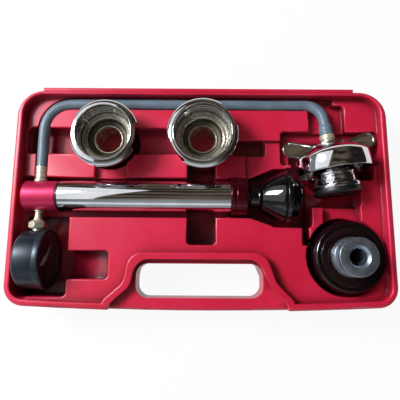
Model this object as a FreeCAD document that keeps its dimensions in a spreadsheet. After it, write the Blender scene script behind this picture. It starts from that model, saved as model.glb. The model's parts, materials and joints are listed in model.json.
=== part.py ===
"""Radiator pressure tester in its case tray: a parametric FreeCAD document.

Frame: millimetres, +X along the pump, +Y towards the hinge side of the case,
+Z up. The origin is the middle of the case's bounding box, on the table.
"""
import FreeCAD, Part
import math
import os
import re
import Sketcher
from FreeCAD import Placement, Rotation, Vector

# ---------------------------------------------------------------- dimensions

DIMENSIONS = (
    # carry case: overall form
    ("case_length", 340.0), ("case_depth", 200.7), ("case_height", 45.0),
    ("front_bow", 4.7), ("back_corner", 24.0), ("front_corner", 18.0),
    ("shell_wall", 2.0), ("shell_round", 6.0), ("tray_wall", 1.6), ("seam_height", 31.0),
    ("rim_width", 6.0), ("back_rim", 3.9), ("rim_round", 3.5), ("lip_round", 1.4),
    ("deck_drop", 9.0), ("hinge_strip_length", 287.0), ("hinge_strip_shift", -3.5),
    ("hinge_strip_proud", 2.1), ("hinge_strip_height", 7.0), ("hinge_strip_drop", 0.6),
    # carry handle
    ("handle_drop", 7.0), ("handle_top", -56.2), ("handle_left", -56.5), ("handle_right", 50.5),
    ("handle_flare", 4.5), ("handle_flare_right", 9.0), ("handle_knee", -79.0),
    ("foot_left", -80.0), ("foot_right", 76.0), ("foot_line", -95.5), ("handle_corner", 14.0),
    ("handle_underside", 17.0), ("slot_left", -57.0), ("slot_right", 54.5), ("slot_top", -60.0),
    ("slot_bottom", -89.5), ("slot_corner", 10.5),
    # clearances
    ("seat_gap", 0.3), ("side_gap", 1.0), ("fit_gap", 0.05), ("run_gap", 0.08),
    ("mouth_round", 1.4), ("pocket_corner", 4.0), ("pocket_overrun", 1.5), ("left_seat_drop", 0.3),
    # pump
    ("pump_z", 34.0), ("pump_inset", 10.0), ("grip_side", 134.5), ("manifold_length", 30.3),
    ("manifold_radius", 14.0), ("manifold_chamfer", 1.0), ("spigot_length", 9.0),
    ("gasket_width", 2.2), ("gasket_radius", 13.5), ("gasket_groove", 1.5),
    ("barrel_radius", 14.6), ("barrel_wall", 1.6), ("collar_overlap", 9.0),
    ("collar_length", 15.3), ("collar_radius", 17.1), ("collar_chamfer", 0.8),
    ("rod_radius", 4.0), ("bush_radius", 7.0), ("bush_length", 12.0), ("rod_inset", 45.5),
    ("rod_reach", 34.4), ("piston_inset", 52.0), ("piston_length", 10.0),
    ("cup_seal_length", 4.5), ("piston_nut_across", 11.0), ("piston_nut_length", 4.0),
    ("piston_pilot", 2.6),
    # pump grip
    ("grip_gap", 1.8), ("grip_neck_radius", 9.5), ("grip_neck_length", 7.5),
    ("grip_cone_length", 29.4), ("grip_flange_radius", 24.5), ("grip_flange_width", 3.6),
    ("grip_dome_radius", 18.0), ("grip_length", 48.9), ("insert_radius", 5.6),
    # check valve in the manifold
    ("valve_bore", 4.2), ("valve_seat_length", 3.0), ("valve_hole", 1.9), ("ball_radius", 3.0),
    ("valve_spring_length", 10.0), ("valve_spring_wire", 0.7), ("valve_spring_radius", 3.0),
    ("port_radius", 3.1), ("port_offset", 12.4), ("spot_face", 13.0), ("spot_radius", 7.0),
    ("valve_gallery", 2.4),
    # pressure gauge
    ("gauge_inset", 1.8), ("gauge_y", -56.95), ("gauge_case_radius", 25.6),
    ("gauge_case_depth", 21.2), ("gauge_wall", 1.1), ("bezel_radius", 26.3),
    ("bezel_start", 17.5), ("bezel_front", 23.7), ("bezel_lip", 2.8), ("lens_thickness", 1.7),
    ("dial_height", 15.0), ("dial_thickness", 0.6), ("stem_neck_radius", 3.2),
    ("stem_hex_across", 14.0), ("stem_hex_start", -22.0), ("stem_hex_end", -29.8),
    ("stem_shank_radius", 4.4), ("stem_shank_end", -37.0), ("socket_size", 8.4),
    ("socket_length", 9.0), ("tube_radius", 18.7), ("tube_width", 2.0), ("tube_height", 5.0),
    ("tube_sweep", 250.0), ("frame_plate", 1.0), ("frame_low", 6.5), ("frame_high", 11.6),
    ("frame_width", 12.0), ("gear_pivot", 14.4), ("arbor_radius", 0.9), ("pinion_radius", 1.5),
    ("gear_low", 8.2), ("gear_thickness", 1.5), ("sector_radius", 12.0), ("sector_angle", 62.0),
    ("sector_rest", 16.9), ("needle_length", 19.0), ("needle_tail", 7.0), ("needle_width", 1.4),
    ("hub_radius", 2.6), ("needle_rise", 1.0), ("needle_rest", 45.0),
    # hose and its ferrules
    ("hose_radius", 5.0), ("hose_bore", 2.6), ("hose_z", 34.0), ("ferrule_radius", 5.4),
    ("ferrule_length", 10.4), ("ferrule_foot", 3.8), ("ferrule_foot_radius", 6.0),
    ("hose_run_y", 88.4), ("channel_half", 5.7), ("bend_radius", 25.0), ("channel_gap", 0.6),
    # test head
    ("head_inset", 52.4), ("head_y", 47.5), ("head_z", 38.0), ("head_yaw", 8.0),
    ("cap_radius", 33.2), ("cap_crown", 15.5), ("cap_shoulder", 10.5), ("cap_length", 25.0),
    ("cap_wall", 1.5), ("cap_lug", 3.0), ("stem_radius", 5.0), ("stem_collar_radius", 8.2),
    ("stem_collar_length", 3.6), ("stem_bore", 2.2), ("head_ferrule_radius", 6.7),
    ("head_ferrule_start", -10.6), ("swell_radius", 6.2), ("swell_length", 10.0), ("hose_last_run", 9.0),
    ("wing_reach", 43.0), ("wing_lobe", 7.2), ("wing_thickness", 3.0),
    ("wing_shift", -1.5), ("wing_floor", 25.6), ("spring_cup_radius", 18.4), ("spring_cup_start", 20.0),
    ("spring_cup_end", 36.2), ("spring_radius", 13.0), ("spring_wire", 1.8),
    ("seal_plate", 4.2), ("seal_radius", 21.4),
    ("head_gasket_thick", 5.2), ("seal_nut_across", 14.0), ("head_nut_across", 17.0),
    ("head_nut_length", 3.0), ("seal_hub_radius", 9.2),
    ("stem_end", 43.5),
    # neck adaptors (the two open cups)
    ("left_cup_inset", 84.3), ("left_cup_y", 52.7), ("right_cup_x", 0.9), ("right_cup_y", 53.5),
    ("cup_base", 15.0), ("cup_height", 47.0), ("cup_radius", 25.6), ("cup_bore", 24.4), ("cup_spread", 0.6),
    ("cup_ring_radius", 31.0), ("cup_ring_thick", 2.4), ("cup_ring_drop", 1.2),
    ("cup_seat_depth", 17.0), ("cup_seat_radius", 18.2), ("cup_hole_radius", 11.8),
    ("cup_hole_depth", 25.0), ("cup_floor", 3.0), ("cup_shoulder", 0.4), ("cup_notch_width", 13.0),
    ("cup_notch_depth", 3.2), ("cup_gasket_height", 2.4),
    ("left_notch_angle", 32.0), ("right_notch_angle", 82.0),
    # cap adaptor (the black disc with the zinc spool)
    ("adaptor_inset", 39.8), ("adaptor_y", -53.2), ("adaptor_base", 12.0),
    ("adaptor_height", 33.0), ("adaptor_radius", 33.2), ("adaptor_top_radius", 29.9),
    ("adaptor_wall", 3.0), ("adaptor_ring_radius", 31.0), ("adaptor_ring_height", 10.0),
    ("adaptor_mid_radius", 32.0), ("adaptor_roof", 5.0), ("adaptor_spool_foot", 21.5), ("spool_radius", 16.4),
    ("spool_neck", 13.0), ("spool_height", 15.9), ("spool_flange", 4.0), ("spool_bore", 7.2),
    ("spool_shank", 9.0), ("base_nut_across", 26.0), ("base_nut_height", 5.0),
    ("washer_radius", 17.6), ("washer_height", 0.6),
    # finger recesses and shelves in the tray
    ("recess_floor", 22.0), ("recess_low", 40.0), ("recess_high", 65.0), ("recess_reach", 29.1),
    ("bay_gap", 57.6), ("saddle_depth", 6.0), ("saddle_before", 12.3), ("saddle_after", 16.7),
    ("slot_half", 13.0), ("under_floor", 8.0), ("under_low", -43.5), ("under_high", 34.5),
    ("shelf_depth", 4.5), ("shelf_gap", 76.6), ("shelf_high", 53.5), ("gauge_recess_floor", 19.0),
    ("gauge_recess_length", 36.5), ("gauge_recess_low", -74.0), ("gauge_recess_high", -49.0),
    ("gauge_pocket_length", 39.2), ("link_floor", 27.0), ("link_before", 19.7),
    ("link_after", 14.3), ("drain_floor", 20.0), ("drain_before", 39.2), ("drain_after", 32.7),
)

# places that follow the case: the pump fills its length, and the rest keeps to one of its ends
PLACES = (
    ("manifold_start", "pump_inset - case_length/2"),
    ("barrel_length", "case_length - pump_inset - manifold_length - gasket_width - grip_side"),
    ("collar_start", "case_length/2 - grip_side - collar_overlap"),
    ("rod_start", "manifold_start + rod_inset"), ("piston_start", "manifold_start + piston_inset"),
    ("port_centre", "manifold_start + port_offset"), ("gauge_back", "manifold_start + gauge_inset"),
    ("grip_start", "collar_start + collar_length + grip_gap"), ("rod_end", "grip_start + rod_reach"),
    ("grip_cone_end", "grip_start + grip_cone_length"), ("grip_end", "grip_start + grip_length"),
    ("head_x", "case_length/2 - head_inset"), ("adaptor_x", "case_length/2 - adaptor_inset"),
    ("left_cup_x", "left_cup_inset - case_length/2"),
    ("gauge_pocket_right", "gauge_back + gauge_pocket_length"),
    ("gauge_recess_end", "gauge_pocket_right + gauge_recess_length"),
    ("saddle_left", "left_cup_x - saddle_before"), ("saddle_right", "left_cup_x + saddle_after"),
    ("saddle_floor", "case_height - deck_drop - saddle_depth"),
    ("shelf_floor", "case_height - deck_drop - shelf_depth"), ("shelf_left", "head_x - shelf_gap"),
    ("recess_end", "right_cup_x + recess_reach"), ("bay_end", "head_x - bay_gap"),
    ("link_left", "adaptor_x - link_before"), ("link_right", "adaptor_x + link_after"),
    ("drain_left", "adaptor_x - drain_before"), ("drain_right", "adaptor_x - drain_after"),
)

AXES = {
    "up": Rotation(),
    "right": Rotation(Vector(0, 1, 0), 90),
    "back": Rotation(Vector(1, 0, 0), -90),
    "front": Rotation(Vector(1, 0, 0), 90),
}

# the hose's route, chosen by hand: across from a named place, along from the long run, up from the hose
HOSE_ROUTE = (
    ("port_centre", 0.0, -61.2, 0.0), ("port_centre", 0.0, -48.4, 0.0), ("port_centre", -0.3, -33.4, 0.0),
    ("port_centre", 0.2, -18.4, 0.0), ("port_centre", 6.8, -6.8, 0.0), ("port_centre", 18.3, -0.2, 0.0),
    ("port_centre", 37.6, 0.3, 0.0), ("port_centre", 65.6, -0.2, 0.0), ("right_cup_x", -40.9, 0.3, 0.0),
    ("right_cup_x", 4.1, -0.2, 0.0), ("right_cup_x", 37.1, 0.2, 0.0), ("head_x", -55.6, -0.2, 0.0),
    ("head_x", -33.6, 0.1, 0.0), ("head_x", -17.3, 0.3, 0.3), ("head_x", -9.3, -4.3, 2.4),
)

COIL_STEPS = 12
COIL_SIDES = 8
ARC_SHARE = 0.45

doc = FreeCAD.newDocument("PressureTester")
sheet = doc.addObject("Spreadsheet::Sheet", "Dims")
parts = {}


def fill_sheet():
    """One row for each driving dimension, then one for each place that follows them."""
    following = [(alias, "=" + formula) for alias, formula in PLACES]
    for row, (alias, value) in enumerate([*DIMENSIONS, *following], start=1):
        sheet.set(f"A{row}", alias)
        sheet.set(f"B{row}", str(value))
        sheet.setAlias(f"B{row}", alias)
    doc.recompute()


def size(alias):
    """The number that the sheet holds under a name."""
    return float(sheet.get(alias))


def bound(text):
    """A formula in plain names, written as an expression on the sheet."""
    return re.sub(r"\b([a-z][a-z0-9_]*)\b(?!\()", r"Dims.\1", text)


def tie(item, **formulas):
    """Bind properties of an object to formulas of the sheet."""
    for prop, text in formulas.items():
        item.setExpression(prop, bound(text))


def stand(item, at=("0", "0", "0"), turn=AXES["up"]):
    """Put an object at a place given by formulas, turned by a fixed rotation."""
    item.Placement = Placement(Vector(), turn)
    for axis, text in zip("xyz", at):
        item.setExpression(f"Placement.Base.{axis}", bound(text))
    return item


# ------------------------------------------------------------------ sketches

def new_body(label):
    """An empty PartDesign body."""
    return doc.addObject("PartDesign::Body", label)


def new_sketch(body, role, lift="0"):
    """A sketch on one of the body's own origin planes, lifted off it if asked."""
    plane = next(f for f in body.Origin.OriginFeatures if f.Role == role)
    sketch = body.newObject("Sketcher::SketchObject", body.Name + "_sketch")
    sketch.AttachmentSupport = [(plane, "")]
    sketch.MapMode = "FlatFace"
    if lift != "0":
        sketch.setExpression("AttachmentOffset.Base.z", bound(lift))
    return sketch


def pin_point(sketch, line, x, y):
    """Hold the start of a line at a place given by two formulas."""
    for kind, text, axis in (("DistanceX", x, -2), ("DistanceY", y, -1)):
        if text == "0":
            sketch.addConstraint(Sketcher.Constraint("PointOnObject", line, 1, axis))
        else:
            index = sketch.addConstraint(Sketcher.Constraint(kind, -1, 1, line, 1, 10.0))
            sketch.setExpression(f"Constraints[{index}]", bound(text))


def draw_polygon(sketch, points):
    """A closed chain of lines whose corners follow the sheet."""
    count = len(points)
    ring = [Vector(20 + 9 * math.cos(2 * math.pi * k / count),
                   20 + 9 * math.sin(2 * math.pi * k / count), 0) for k in range(count)]
    for k in range(count):
        sketch.addGeometry(Part.LineSegment(ring[k], ring[(k + 1) % count]), False)
    for k in range(count):
        sketch.addConstraint(Sketcher.Constraint("Coincident", k, 2, (k + 1) % count, 1))
    for k, (x, y) in enumerate(points):
        pin_point(sketch, k, x, y)


def draw_case_outline(sketch, inset, back_inset):
    """The case seen from above: straight back and ends, gently bowed front."""
    half = size("case_length") / 2
    bow_radius = (half ** 2 + size("front_bow") ** 2) / (2 * size("front_bow"))
    centre = Vector(0, bow_radius - size("case_depth") / 2, 0)
    spread = math.asin(half / bow_radius)
    corner_y = centre.y - bow_radius * math.cos(spread)
    back = size("case_depth") / 2
    left_front = Vector(-half, corner_y, 0)
    right_front = Vector(half, corner_y, 0)
    sketch.addGeometry([
        Part.LineSegment(left_front, Vector(-half, back, 0)),
        Part.LineSegment(Vector(-half, back, 0), Vector(half, back, 0)),
        Part.LineSegment(Vector(half, back, 0), right_front),
        Part.ArcOfCircle(Part.Circle(centre, Vector(0, 0, 1), bow_radius),
                         1.5 * math.pi - spread, 1.5 * math.pi + spread)], False)
    for first, first_end, second, second_end in ((0, 2, 1, 1), (1, 2, 2, 1), (2, 2, 3, 2), (3, 1, 0, 1)):
        sketch.addConstraint(Sketcher.Constraint("Coincident", first, first_end, second, second_end))
    for line in (0, 2):
        sketch.addConstraint(Sketcher.Constraint("Vertical", line))
    sketch.addConstraint(Sketcher.Constraint("Horizontal", 1))
    sketch.addConstraint(Sketcher.Constraint("PointOnObject", 3, 3, -2))
    radius = "((case_length/2)^2 + front_bow^2) / (2*front_bow)"
    formulas = (
        (Sketcher.Constraint("DistanceX", 0, 2, -1, 1, half), f"case_length/2 - {inset}"),
        (Sketcher.Constraint("DistanceX", -1, 1, 1, 2, half), f"case_length/2 - {inset}"),
        (Sketcher.Constraint("DistanceY", -1, 1, 1, 1, back), f"case_depth/2 - {back_inset}"),
        (Sketcher.Constraint("Radius", 3, bow_radius), f"{radius} - {inset}"),
        (Sketcher.Constraint("DistanceY", -1, 1, 3, 3, centre.y), f"{radius} - case_depth/2"))
    for constraint, text in formulas:
        index = sketch.addConstraint(constraint)
        sketch.setExpression(f"Constraints[{index}]", bound(text))


# ------------------------------------------------------------ solid builders

def edge_names(shape, wanted):
    """Names of the edges that a test picks out."""
    return [f"Edge{k}" for k, edge in enumerate(shape.Edges, start=1) if wanted(edge)]


def is_upright(edge):
    """True for a straight edge along Z."""
    ends = [v.Point for v in edge.Vertexes]
    if len(ends) != 2:
        return False
    across = ends[1] - ends[0]
    return abs(across.x) < 1e-6 and abs(across.y) < 1e-6


def at_level(level):
    """A test for edges that lie flat at one height."""
    def wanted(edge):
        return abs(edge.BoundBox.ZMin - level) < 1e-5 and abs(edge.BoundBox.ZMax - level) < 1e-5
    return wanted


def pad(body, sketch, length):
    """Raise a sketch of the body by a length."""
    feature = body.newObject("PartDesign::Pad", body.Name + "_pad")
    feature.Profile = sketch
    tie(feature, Length=length)
    body.Tip = feature
    doc.recompute()
    return feature


def round_edges(body, wanted, radius):
    """Fillet the body's edges that a test picks out."""
    before = body.Tip
    names = edge_names(before.Shape, wanted)
    feature = body.newObject("PartDesign::Fillet", body.Name + "_round")
    feature.Base = (before, names)
    tie(feature, Radius=radius)
    body.Tip = feature
    doc.recompute()
    return feature


def turned(label, profile, sweep="360"):
    """A lathe part: points of (radius, height) turned about the local Z axis."""
    body = new_body(label)
    sketch = new_sketch(body, "XZ_Plane")
    draw_polygon(sketch, profile)
    feature = body.newObject("PartDesign::Revolution", label + "_turn")
    feature.Profile = sketch
    feature.ReferenceAxis = (sketch, ["V_Axis"])
    feature.setExpression("Angle", bound(sweep))
    body.Tip = feature
    return body


def prism(label, points, bottom, height, corner=None):
    """A straight-sided block from a plan outline, with rounded upright edges."""
    body = new_body(label)
    sketch = new_sketch(body, "XY_Plane")
    draw_polygon(sketch, points)
    pad(body, sketch, height)
    if corner:
        round_edges(body, is_upright, corner)
    return stand(body, ("0", "0", bottom))


def box(label, x, y, z, length, width, height):
    """A Part box with its low corner and sides given by formulas."""
    item = doc.addObject("Part::Box", label)
    tie(item, Length=length, Width=width, Height=height)
    return stand(item, (x, y, z))


def cylinder(label, radius, height, at=("0", "0", "0"), turn=AXES["up"]):
    """A Part cylinder along its local Z axis."""
    item = doc.addObject("Part::Cylinder", label)
    tie(item, Radius=radius, Height=height)
    return stand(item, at, turn)


def hexagon(label, across, height, at=("0", "0", "0"), turn=AXES["up"]):
    """A six-sided bar whose size is measured across its flats."""
    item = doc.addObject("Part::Prism", label)
    item.Polygon = 6
    tie(item, Circumradius=f"({across}) / sqrt(3)", Height=height)
    return stand(item, at, turn)


def joined(label, *items):
    """Several solids made one."""
    item = doc.addObject("Part::MultiFuse", label)
    item.Shapes = list(items)
    item.Refine = True
    return item


def cut(label, base, *tools):
    """A solid with others cut out of it."""
    item = doc.addObject("Part::Cut", label)
    item.Base = base
    item.Tool = tools[0] if len(tools) == 1 else joined(label + "_tools", *tools)
    return item


def common(label, first, second):
    """What two solids share."""
    item = doc.addObject("Part::Common", label)
    item.Base = first
    item.Tool = second
    return item


def filleted(label, base, groups):
    """Fillet a finished solid: each group is a test for edges and a radius."""
    doc.recompute()
    item = doc.addObject("Part::Fillet", label)
    item.Base = base
    edges = []
    for wanted, radius in groups:
        names = edge_names(base.Shape, wanted)
        edges += [(int(name[4:]), radius, radius) for name in names]
    item.Edges = edges
    return item


def solid_of(label, shape, place=Placement()):
    """A shape made by code, as an object of the document."""
    item = doc.addObject("Part::Feature", label)
    item.Shape = shape
    item.Placement = place
    return item


def keep(node, item):
    """Name a finished sub-part: its label is its file's name."""
    item.Label = node
    parts[node] = item
    return item


# ---------------------------------------------------------------- carry case

DECK = "(case_height - deck_drop)"
HANDLE_FACE = "(case_height - handle_drop)"


def case_block(label, inset, back_inset, bottom, height):
    """The case's plan outline, drawn in by an inset, as a rounded block."""
    body = new_body(label)
    draw_case_outline(new_sketch(body, "XY_Plane"), inset, back_inset)
    pad(body, body.Group[0], height)
    round_edges(body, at_case_corner(1), f"back_corner - {inset}")
    round_edges(body, at_case_corner(-1), f"front_corner - {inset}")
    return stand(body, ("0", "0", bottom))


def at_case_corner(side):
    """A test for the case's upright corners, at the back for side 1 and in front for side -1."""
    end = size("case_length") / 2 - 1.5 * size("rim_width")

    def wanted(edge):
        middle = edge.CenterOfMass
        return is_upright(edge) and middle.y * side > 0 and abs(middle.x) > end
    return wanted


def handle_zone(label, grow, bottom, height):
    """The flat-topped area of the carry handle, open towards the front."""
    left = f"handle_left - {grow}"
    right = f"handle_right + {grow}"
    points = (
        (f"foot_left - {grow}", "-case_depth"),
        (f"foot_left - {grow}", f"foot_line + {grow}/2"),
        (f"{left} - handle_flare", f"handle_knee + {grow}/2"), (left, f"handle_top + {grow}"),
        (right, f"handle_top + {grow}"), (f"{right} + handle_flare_right", f"handle_knee + {grow}/2"),
        (f"foot_right + {grow}", f"foot_line + {grow}/2"), (f"foot_right + {grow}", "-case_depth"))
    return prism(label, points, bottom, height, "handle_corner")


def handle_slot(label, grow, bottom, height):
    """The finger slot through the handle."""
    left = f"slot_left - {grow}"
    right = f"slot_right + {grow}"
    bottom_edge = f"slot_bottom - {grow}"
    top_edge = f"slot_top + {grow}"
    points = ((left, bottom_edge), (right, bottom_edge), (right, top_edge), (left, top_edge))
    return prism(label, points, bottom, height, f"slot_corner + {grow}")


def outer_shell():
    """Outer skin: floor, end walls and the handle's underside."""
    outer = case_block("shell_outer", "0", "hinge_strip_proud", "0", "seam_height")
    round_edges(outer, at_level(0), "shell_round")
    inner = case_block("shell_inner", "shell_wall", "(hinge_strip_proud + shell_wall)",
                       "shell_wall", "seam_height")
    round_edges(inner, at_level(0), "shell_round - shell_wall")
    under = handle_zone("shell_under", "0", "-1", "handle_underside + 1")
    under_wall = handle_zone("shell_under_wall", "shell_wall", "-1", "handle_underside + shell_wall + 1")
    slot = handle_slot("shell_slot", "0", "-1", "case_height")
    slot_wall = handle_slot("shell_slot_wall", "shell_wall", "-1", "case_height")
    skin = cut("shell_solid", outer, under, slot)
    hollow = cut("shell_hollow", inner, under_wall, slot_wall)
    return keep("case_outer_shell", cut("case_outer_shell", skin, hollow))


def rectangle(left, right, low, high, grow="0"):
    """The corners of a rectangle, moved outwards if asked."""
    sides = (f"({left}) - {grow}", f"({right}) + {grow}")
    near = f"({low}) - {grow}"
    far = f"({high}) + {grow}"
    return ((sides[0], near), (sides[1], near), (sides[1], far), (sides[0], far))


def pocket(name, left, right, low, high, floor, corner="pocket_corner"):
    """A rectangular pocket: the space it opens and the wall around that space."""
    depth = f"{DECK} - ({floor})"
    space = new_body(name + "_space")
    draw_polygon(new_sketch(space, "XY_Plane"), rectangle(left, right, low, high))
    pad(space, space.Group[0], depth)
    round_edges(space, is_upright, corner)
    brim = new_sketch(space, "XY_Plane", depth)
    draw_polygon(brim, rectangle(left, right, low, high, "2*mouth_round"))
    pad(space, brim, "mouth_round")
    soften_mouth(space)
    stand(space, ("0", "0", floor))
    wall = prism(name + "_wall", rectangle(left, right, low, high, "tray_wall"),
                 f"({floor}) - tray_wall", f"{depth} + tray_wall", f"{corner} + tray_wall")
    return space, wall


def soften_mouth(space):
    """Round the edge where a pocket's walls meet the deck."""
    bounds = space.Tip.Shape.BoundBox
    top = bounds.ZMax - size("mouth_round")
    margin = 1.5 * size("mouth_round")

    def at_mouth(edge):
        middle = edge.CenterOfMass
        within_x = bounds.XMin + margin < middle.x < bounds.XMax - margin
        within_y = bounds.YMin + margin < middle.y < bounds.YMax - margin
        return within_x and within_y and at_level(top)(edge)
    round_edges(space, at_mouth, "mouth_round*0.95")


def round_pocket(name, x, y, radius, floor):
    """A round pocket with a softened mouth, and the wall around it."""
    space = turned(name + "_space", (
        ("0", floor), (radius, floor), (radius, f"{DECK} - mouth_round"),
        (f"{radius} + mouth_round*0.3", f"{DECK} - mouth_round*0.3"), (f"{radius} + mouth_round", DECK),
        (f"{radius} + mouth_round", f"{DECK} + mouth_round"), ("0", f"{DECK} + mouth_round")))
    wall = turned(name + "_wall", (
        ("0", f"({floor}) - tray_wall"), (f"{radius} + tray_wall", f"({floor}) - tray_wall"),
        (f"{radius} + tray_wall", DECK), ("0", DECK)))
    return stand(space, (x, y, "0")), stand(wall, (x, y, "0"))


def hose_channel():
    """The channel that the hose lies in, with its two round corners."""
    floor = "(hose_z - hose_radius - channel_gap)"
    inner = "bend_radius - channel_half"
    outer = "bend_radius + channel_half"
    corner_y = "(hose_run_y - bend_radius)"
    tools = []
    for kind, grow in (("space", "0"), ("wall", "tray_wall")):
        low = f"{floor} - {grow}"
        rise = f"{DECK} - {low}"
        left = f"(port_centre - channel_half) - {grow}"
        across = f"2*channel_half + 2*{grow}"
        bend_x = "(port_centre + bend_radius)"
        ring = turned("bend_" + kind, ((f"{inner} - {grow}", low), (f"{outer} + {grow}", low),
                                       (f"{outer} + {grow}", DECK), (f"{inner} - {grow}", DECK)))
        stand(ring, (bend_x, corner_y, "0"))
        quarter = box("bend_quarter_" + kind, f"{bend_x} - 2*bend_radius", corner_y, low,
                      "2*bend_radius", "2*bend_radius", f"{rise} + 1")
        tools.append([
            box("channel_left_" + kind, left, "spot_face", low, across, f"{corner_y} - spot_face", rise),
            common("channel_bend_" + kind, ring, quarter),
            box("channel_run_" + kind, bend_x, f"hose_run_y - channel_half - {grow}", low,
                f"head_x - {bend_x} + channel_half + {grow}", across, rise)])
    return tools


def pockets():
    """Every pocket of the tray, each sized from the piece that lies in it."""
    end = "case_length/2"
    pump_floor = "(pump_z - barrel_radius - seat_gap)"
    collar_low = "-(collar_radius + 2*side_gap)"
    collar_high = "(collar_radius + side_gap/2)"
    grip_reach = "(grip_flange_radius + 3*side_gap)"
    gauge_low = "(gauge_y - bezel_radius - 6*side_gap)"
    head_floor = "(head_z - cap_radius - seat_gap)"
    pairs = [
        pocket("pump", f"-{end}", "collar_start", collar_low, collar_high, pump_floor),
        pocket("collar", "collar_start - side_gap", "grip_start + side_gap", collar_low, collar_high,
               "pump_z - collar_radius - seat_gap", "side_gap"),
        pocket("grip", "grip_cone_end - 9*side_gap", "grip_end + 8*side_gap", f"-{grip_reach}", grip_reach,
               "pump_z - grip_flange_radius - seat_gap"),
        pocket("gauge", f"-{end}", "gauge_pocket_right", gauge_low, "-collar_radius",
               "pump_z - bezel_radius - seat_gap"),
        pocket("gauge_recess", "gauge_pocket_right - pocket_overrun*3", "gauge_recess_end",
               "gauge_recess_low", "gauge_recess_high", "gauge_recess_floor"),
        pocket("finger", f"rim_width + 1.5*side_gap - {end}", "recess_end", "recess_low", "recess_high",
               "recess_floor"),
        pocket("bay", "recess_end - 2*side_gap", "bay_end", "recess_low - side_gap", "shelf_high",
               "recess_floor"),
        pocket("saddle", "saddle_left", "saddle_right", "collar_radius - pocket_overrun",
               "recess_low + pocket_overrun*3", "saddle_floor"),
        pocket("under", "-slot_half", "slot_half", "under_low", "under_high", "under_floor"),
        pocket("shelf", "shelf_left", "head_x - wing_reach + 3*side_gap", "collar_radius - pocket_overrun",
               "shelf_high", "shelf_floor"),
        pocket("head", "head_x - cap_radius - side_gap*1.5", "head_x + cap_radius + 8*side_gap",
               "head_y - cap_length - 6*side_gap", "head_y + 6*side_gap", head_floor),
        pocket("wing", "head_x - wing_reach - side_gap", "head_x + wing_reach + 4*side_gap",
               "head_y - 17*side_gap", "head_y + 15*side_gap", "wing_floor"),
        pocket("stem", "head_x - 17*side_gap", "head_x + 16.5*side_gap", "head_y", "hose_run_y",
               "hose_z - hose_radius - channel_gap"),
        pocket("seal", "grip_end + 5.5*side_gap", "link_right + side_gap", "-9*side_gap",
               "head_y - cap_length", "head_z - seal_radius - seat_gap"),
        pocket("link", "link_left", "link_right", "-26*side_gap", "-6*side_gap", "link_floor"),
        pocket("drain", "drain_left", "drain_right", "adaptor_y + 10*side_gap", "-22*side_gap", "drain_floor",
               "side_gap"),
        round_pocket("left_cup", "left_cup_x", "left_cup_y", "cup_radius + side_gap",
                     "cup_base - seat_gap - left_seat_drop"),
        round_pocket("right_cup", "right_cup_x", "right_cup_y", "cup_radius + side_gap",
                     "cup_base - seat_gap"),
        round_pocket("adaptor", "adaptor_x - side_gap", "adaptor_y", "adaptor_radius + 2*side_gap",
                     "adaptor_base - seat_gap"),
    ]
    channel_spaces, channel_walls = hose_channel()
    neck = grip_neck_pocket()
    spaces = [space for space, wall in pairs] + channel_spaces + [neck[0]]
    walls = [wall for space, wall in pairs] + channel_walls + [neck[1]]
    return spaces, walls


def grip_neck_pocket():
    """The pocket's sloping part, which widens from the collar to the grip."""
    made = []
    for kind, grow in (("space", "0"), ("wall", "tray_wall")):
        floor = f"(pump_z - grip_flange_radius - seat_gap) - {grow}"
        start = f"grip_start - {grow}"
        finish = "grip_cone_end - 6*side_gap"
        low = f"-(collar_radius + 2*side_gap) - {grow}"
        high = f"(collar_radius + side_gap/2) + {grow}"
        reach = f"(grip_flange_radius + 3*side_gap) + {grow}"
        plan = ((start, low), (finish, f"-{reach}"), (finish, reach), (start, high))
        made.append(prism("neck_" + kind, plan, floor, f"{DECK} - ({floor})"))
    return made


def tray_frame():
    """Rim, wall round the handle, handle face and deck, before any pocket."""
    tall = "case_height - seam_height"
    low = "case_height - handle_drop - seam_height"
    back = "(hinge_strip_proud + back_rim)"
    block = case_block("tray_block", "0", "hinge_strip_proud", "seam_height", tall)
    round_edges(block, at_level(size("case_height") - size("seam_height")), "rim_round")
    content = case_block("tray_content", "rim_width", back, "seam_height - 1", "2*case_height")
    ring = filleted("tray_ring", cut("tray_ring_sharp", block, content),
                    [(is_rim_lip, size("lip_round"))])
    lip = handle_zone("tray_lip", "rim_width", "seam_height", tall)
    round_edges(lip, at_level(size("case_height") - size("seam_height")), "lip_round")
    lip_inside = common("tray_lip_inside", lip, case_block("tray_lip_block", "rim_width/2", back,
                                                           "seam_height", tall))
    zone = handle_zone("tray_zone", "0", "0", "2*case_height")
    high = cut("tray_high", joined("tray_high_full", ring, lip_inside), zone)
    bar = case_block("tray_bar", "0", "hinge_strip_proud", "seam_height", low)
    round_edges(bar, at_level(size("case_height") - size("handle_drop") - size("seam_height")), "rim_round")
    hollow_bar = cut("tray_bar_shell", common("tray_bar_face", bar, zone), bar_void())
    deck = cut("tray_deck",
               case_block("tray_deck_block", "rim_width/2", back, f"{DECK} - tray_wall", "tray_wall"),
               handle_zone("tray_deck_edge", "rim_width/2", "0", "2*case_height"))
    return joined("tray_frame", high, hollow_bar, deck)


def is_rim_lip(edge):
    """True for an edge on the inner side of the rim's top."""
    middle = edge.CenterOfMass
    end = size("case_length") / 2 - size("rim_width")
    back = size("case_depth") / 2 - size("hinge_strip_proud") - size("back_rim")
    front = -size("case_depth") / 2 + size("rim_width")
    inside = abs(middle.x) < end + 0.1 and front - 0.1 < middle.y < back + 0.1
    return inside and at_level(size("case_height"))(edge)


def bar_void():
    """The hollow of the handle bar, with the slot's wall left standing."""
    space = common("bar_space", handle_zone("bar_zone", "-tray_wall", "0", f"{HANDLE_FACE} - tray_wall"),
                   case_block("bar_block", "2*tray_wall", "rim_width", "0", "2*case_height"))
    return cut("bar_void", space, handle_slot("bar_slot_wall", "tray_wall", "-1", "2*case_height"))


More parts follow.
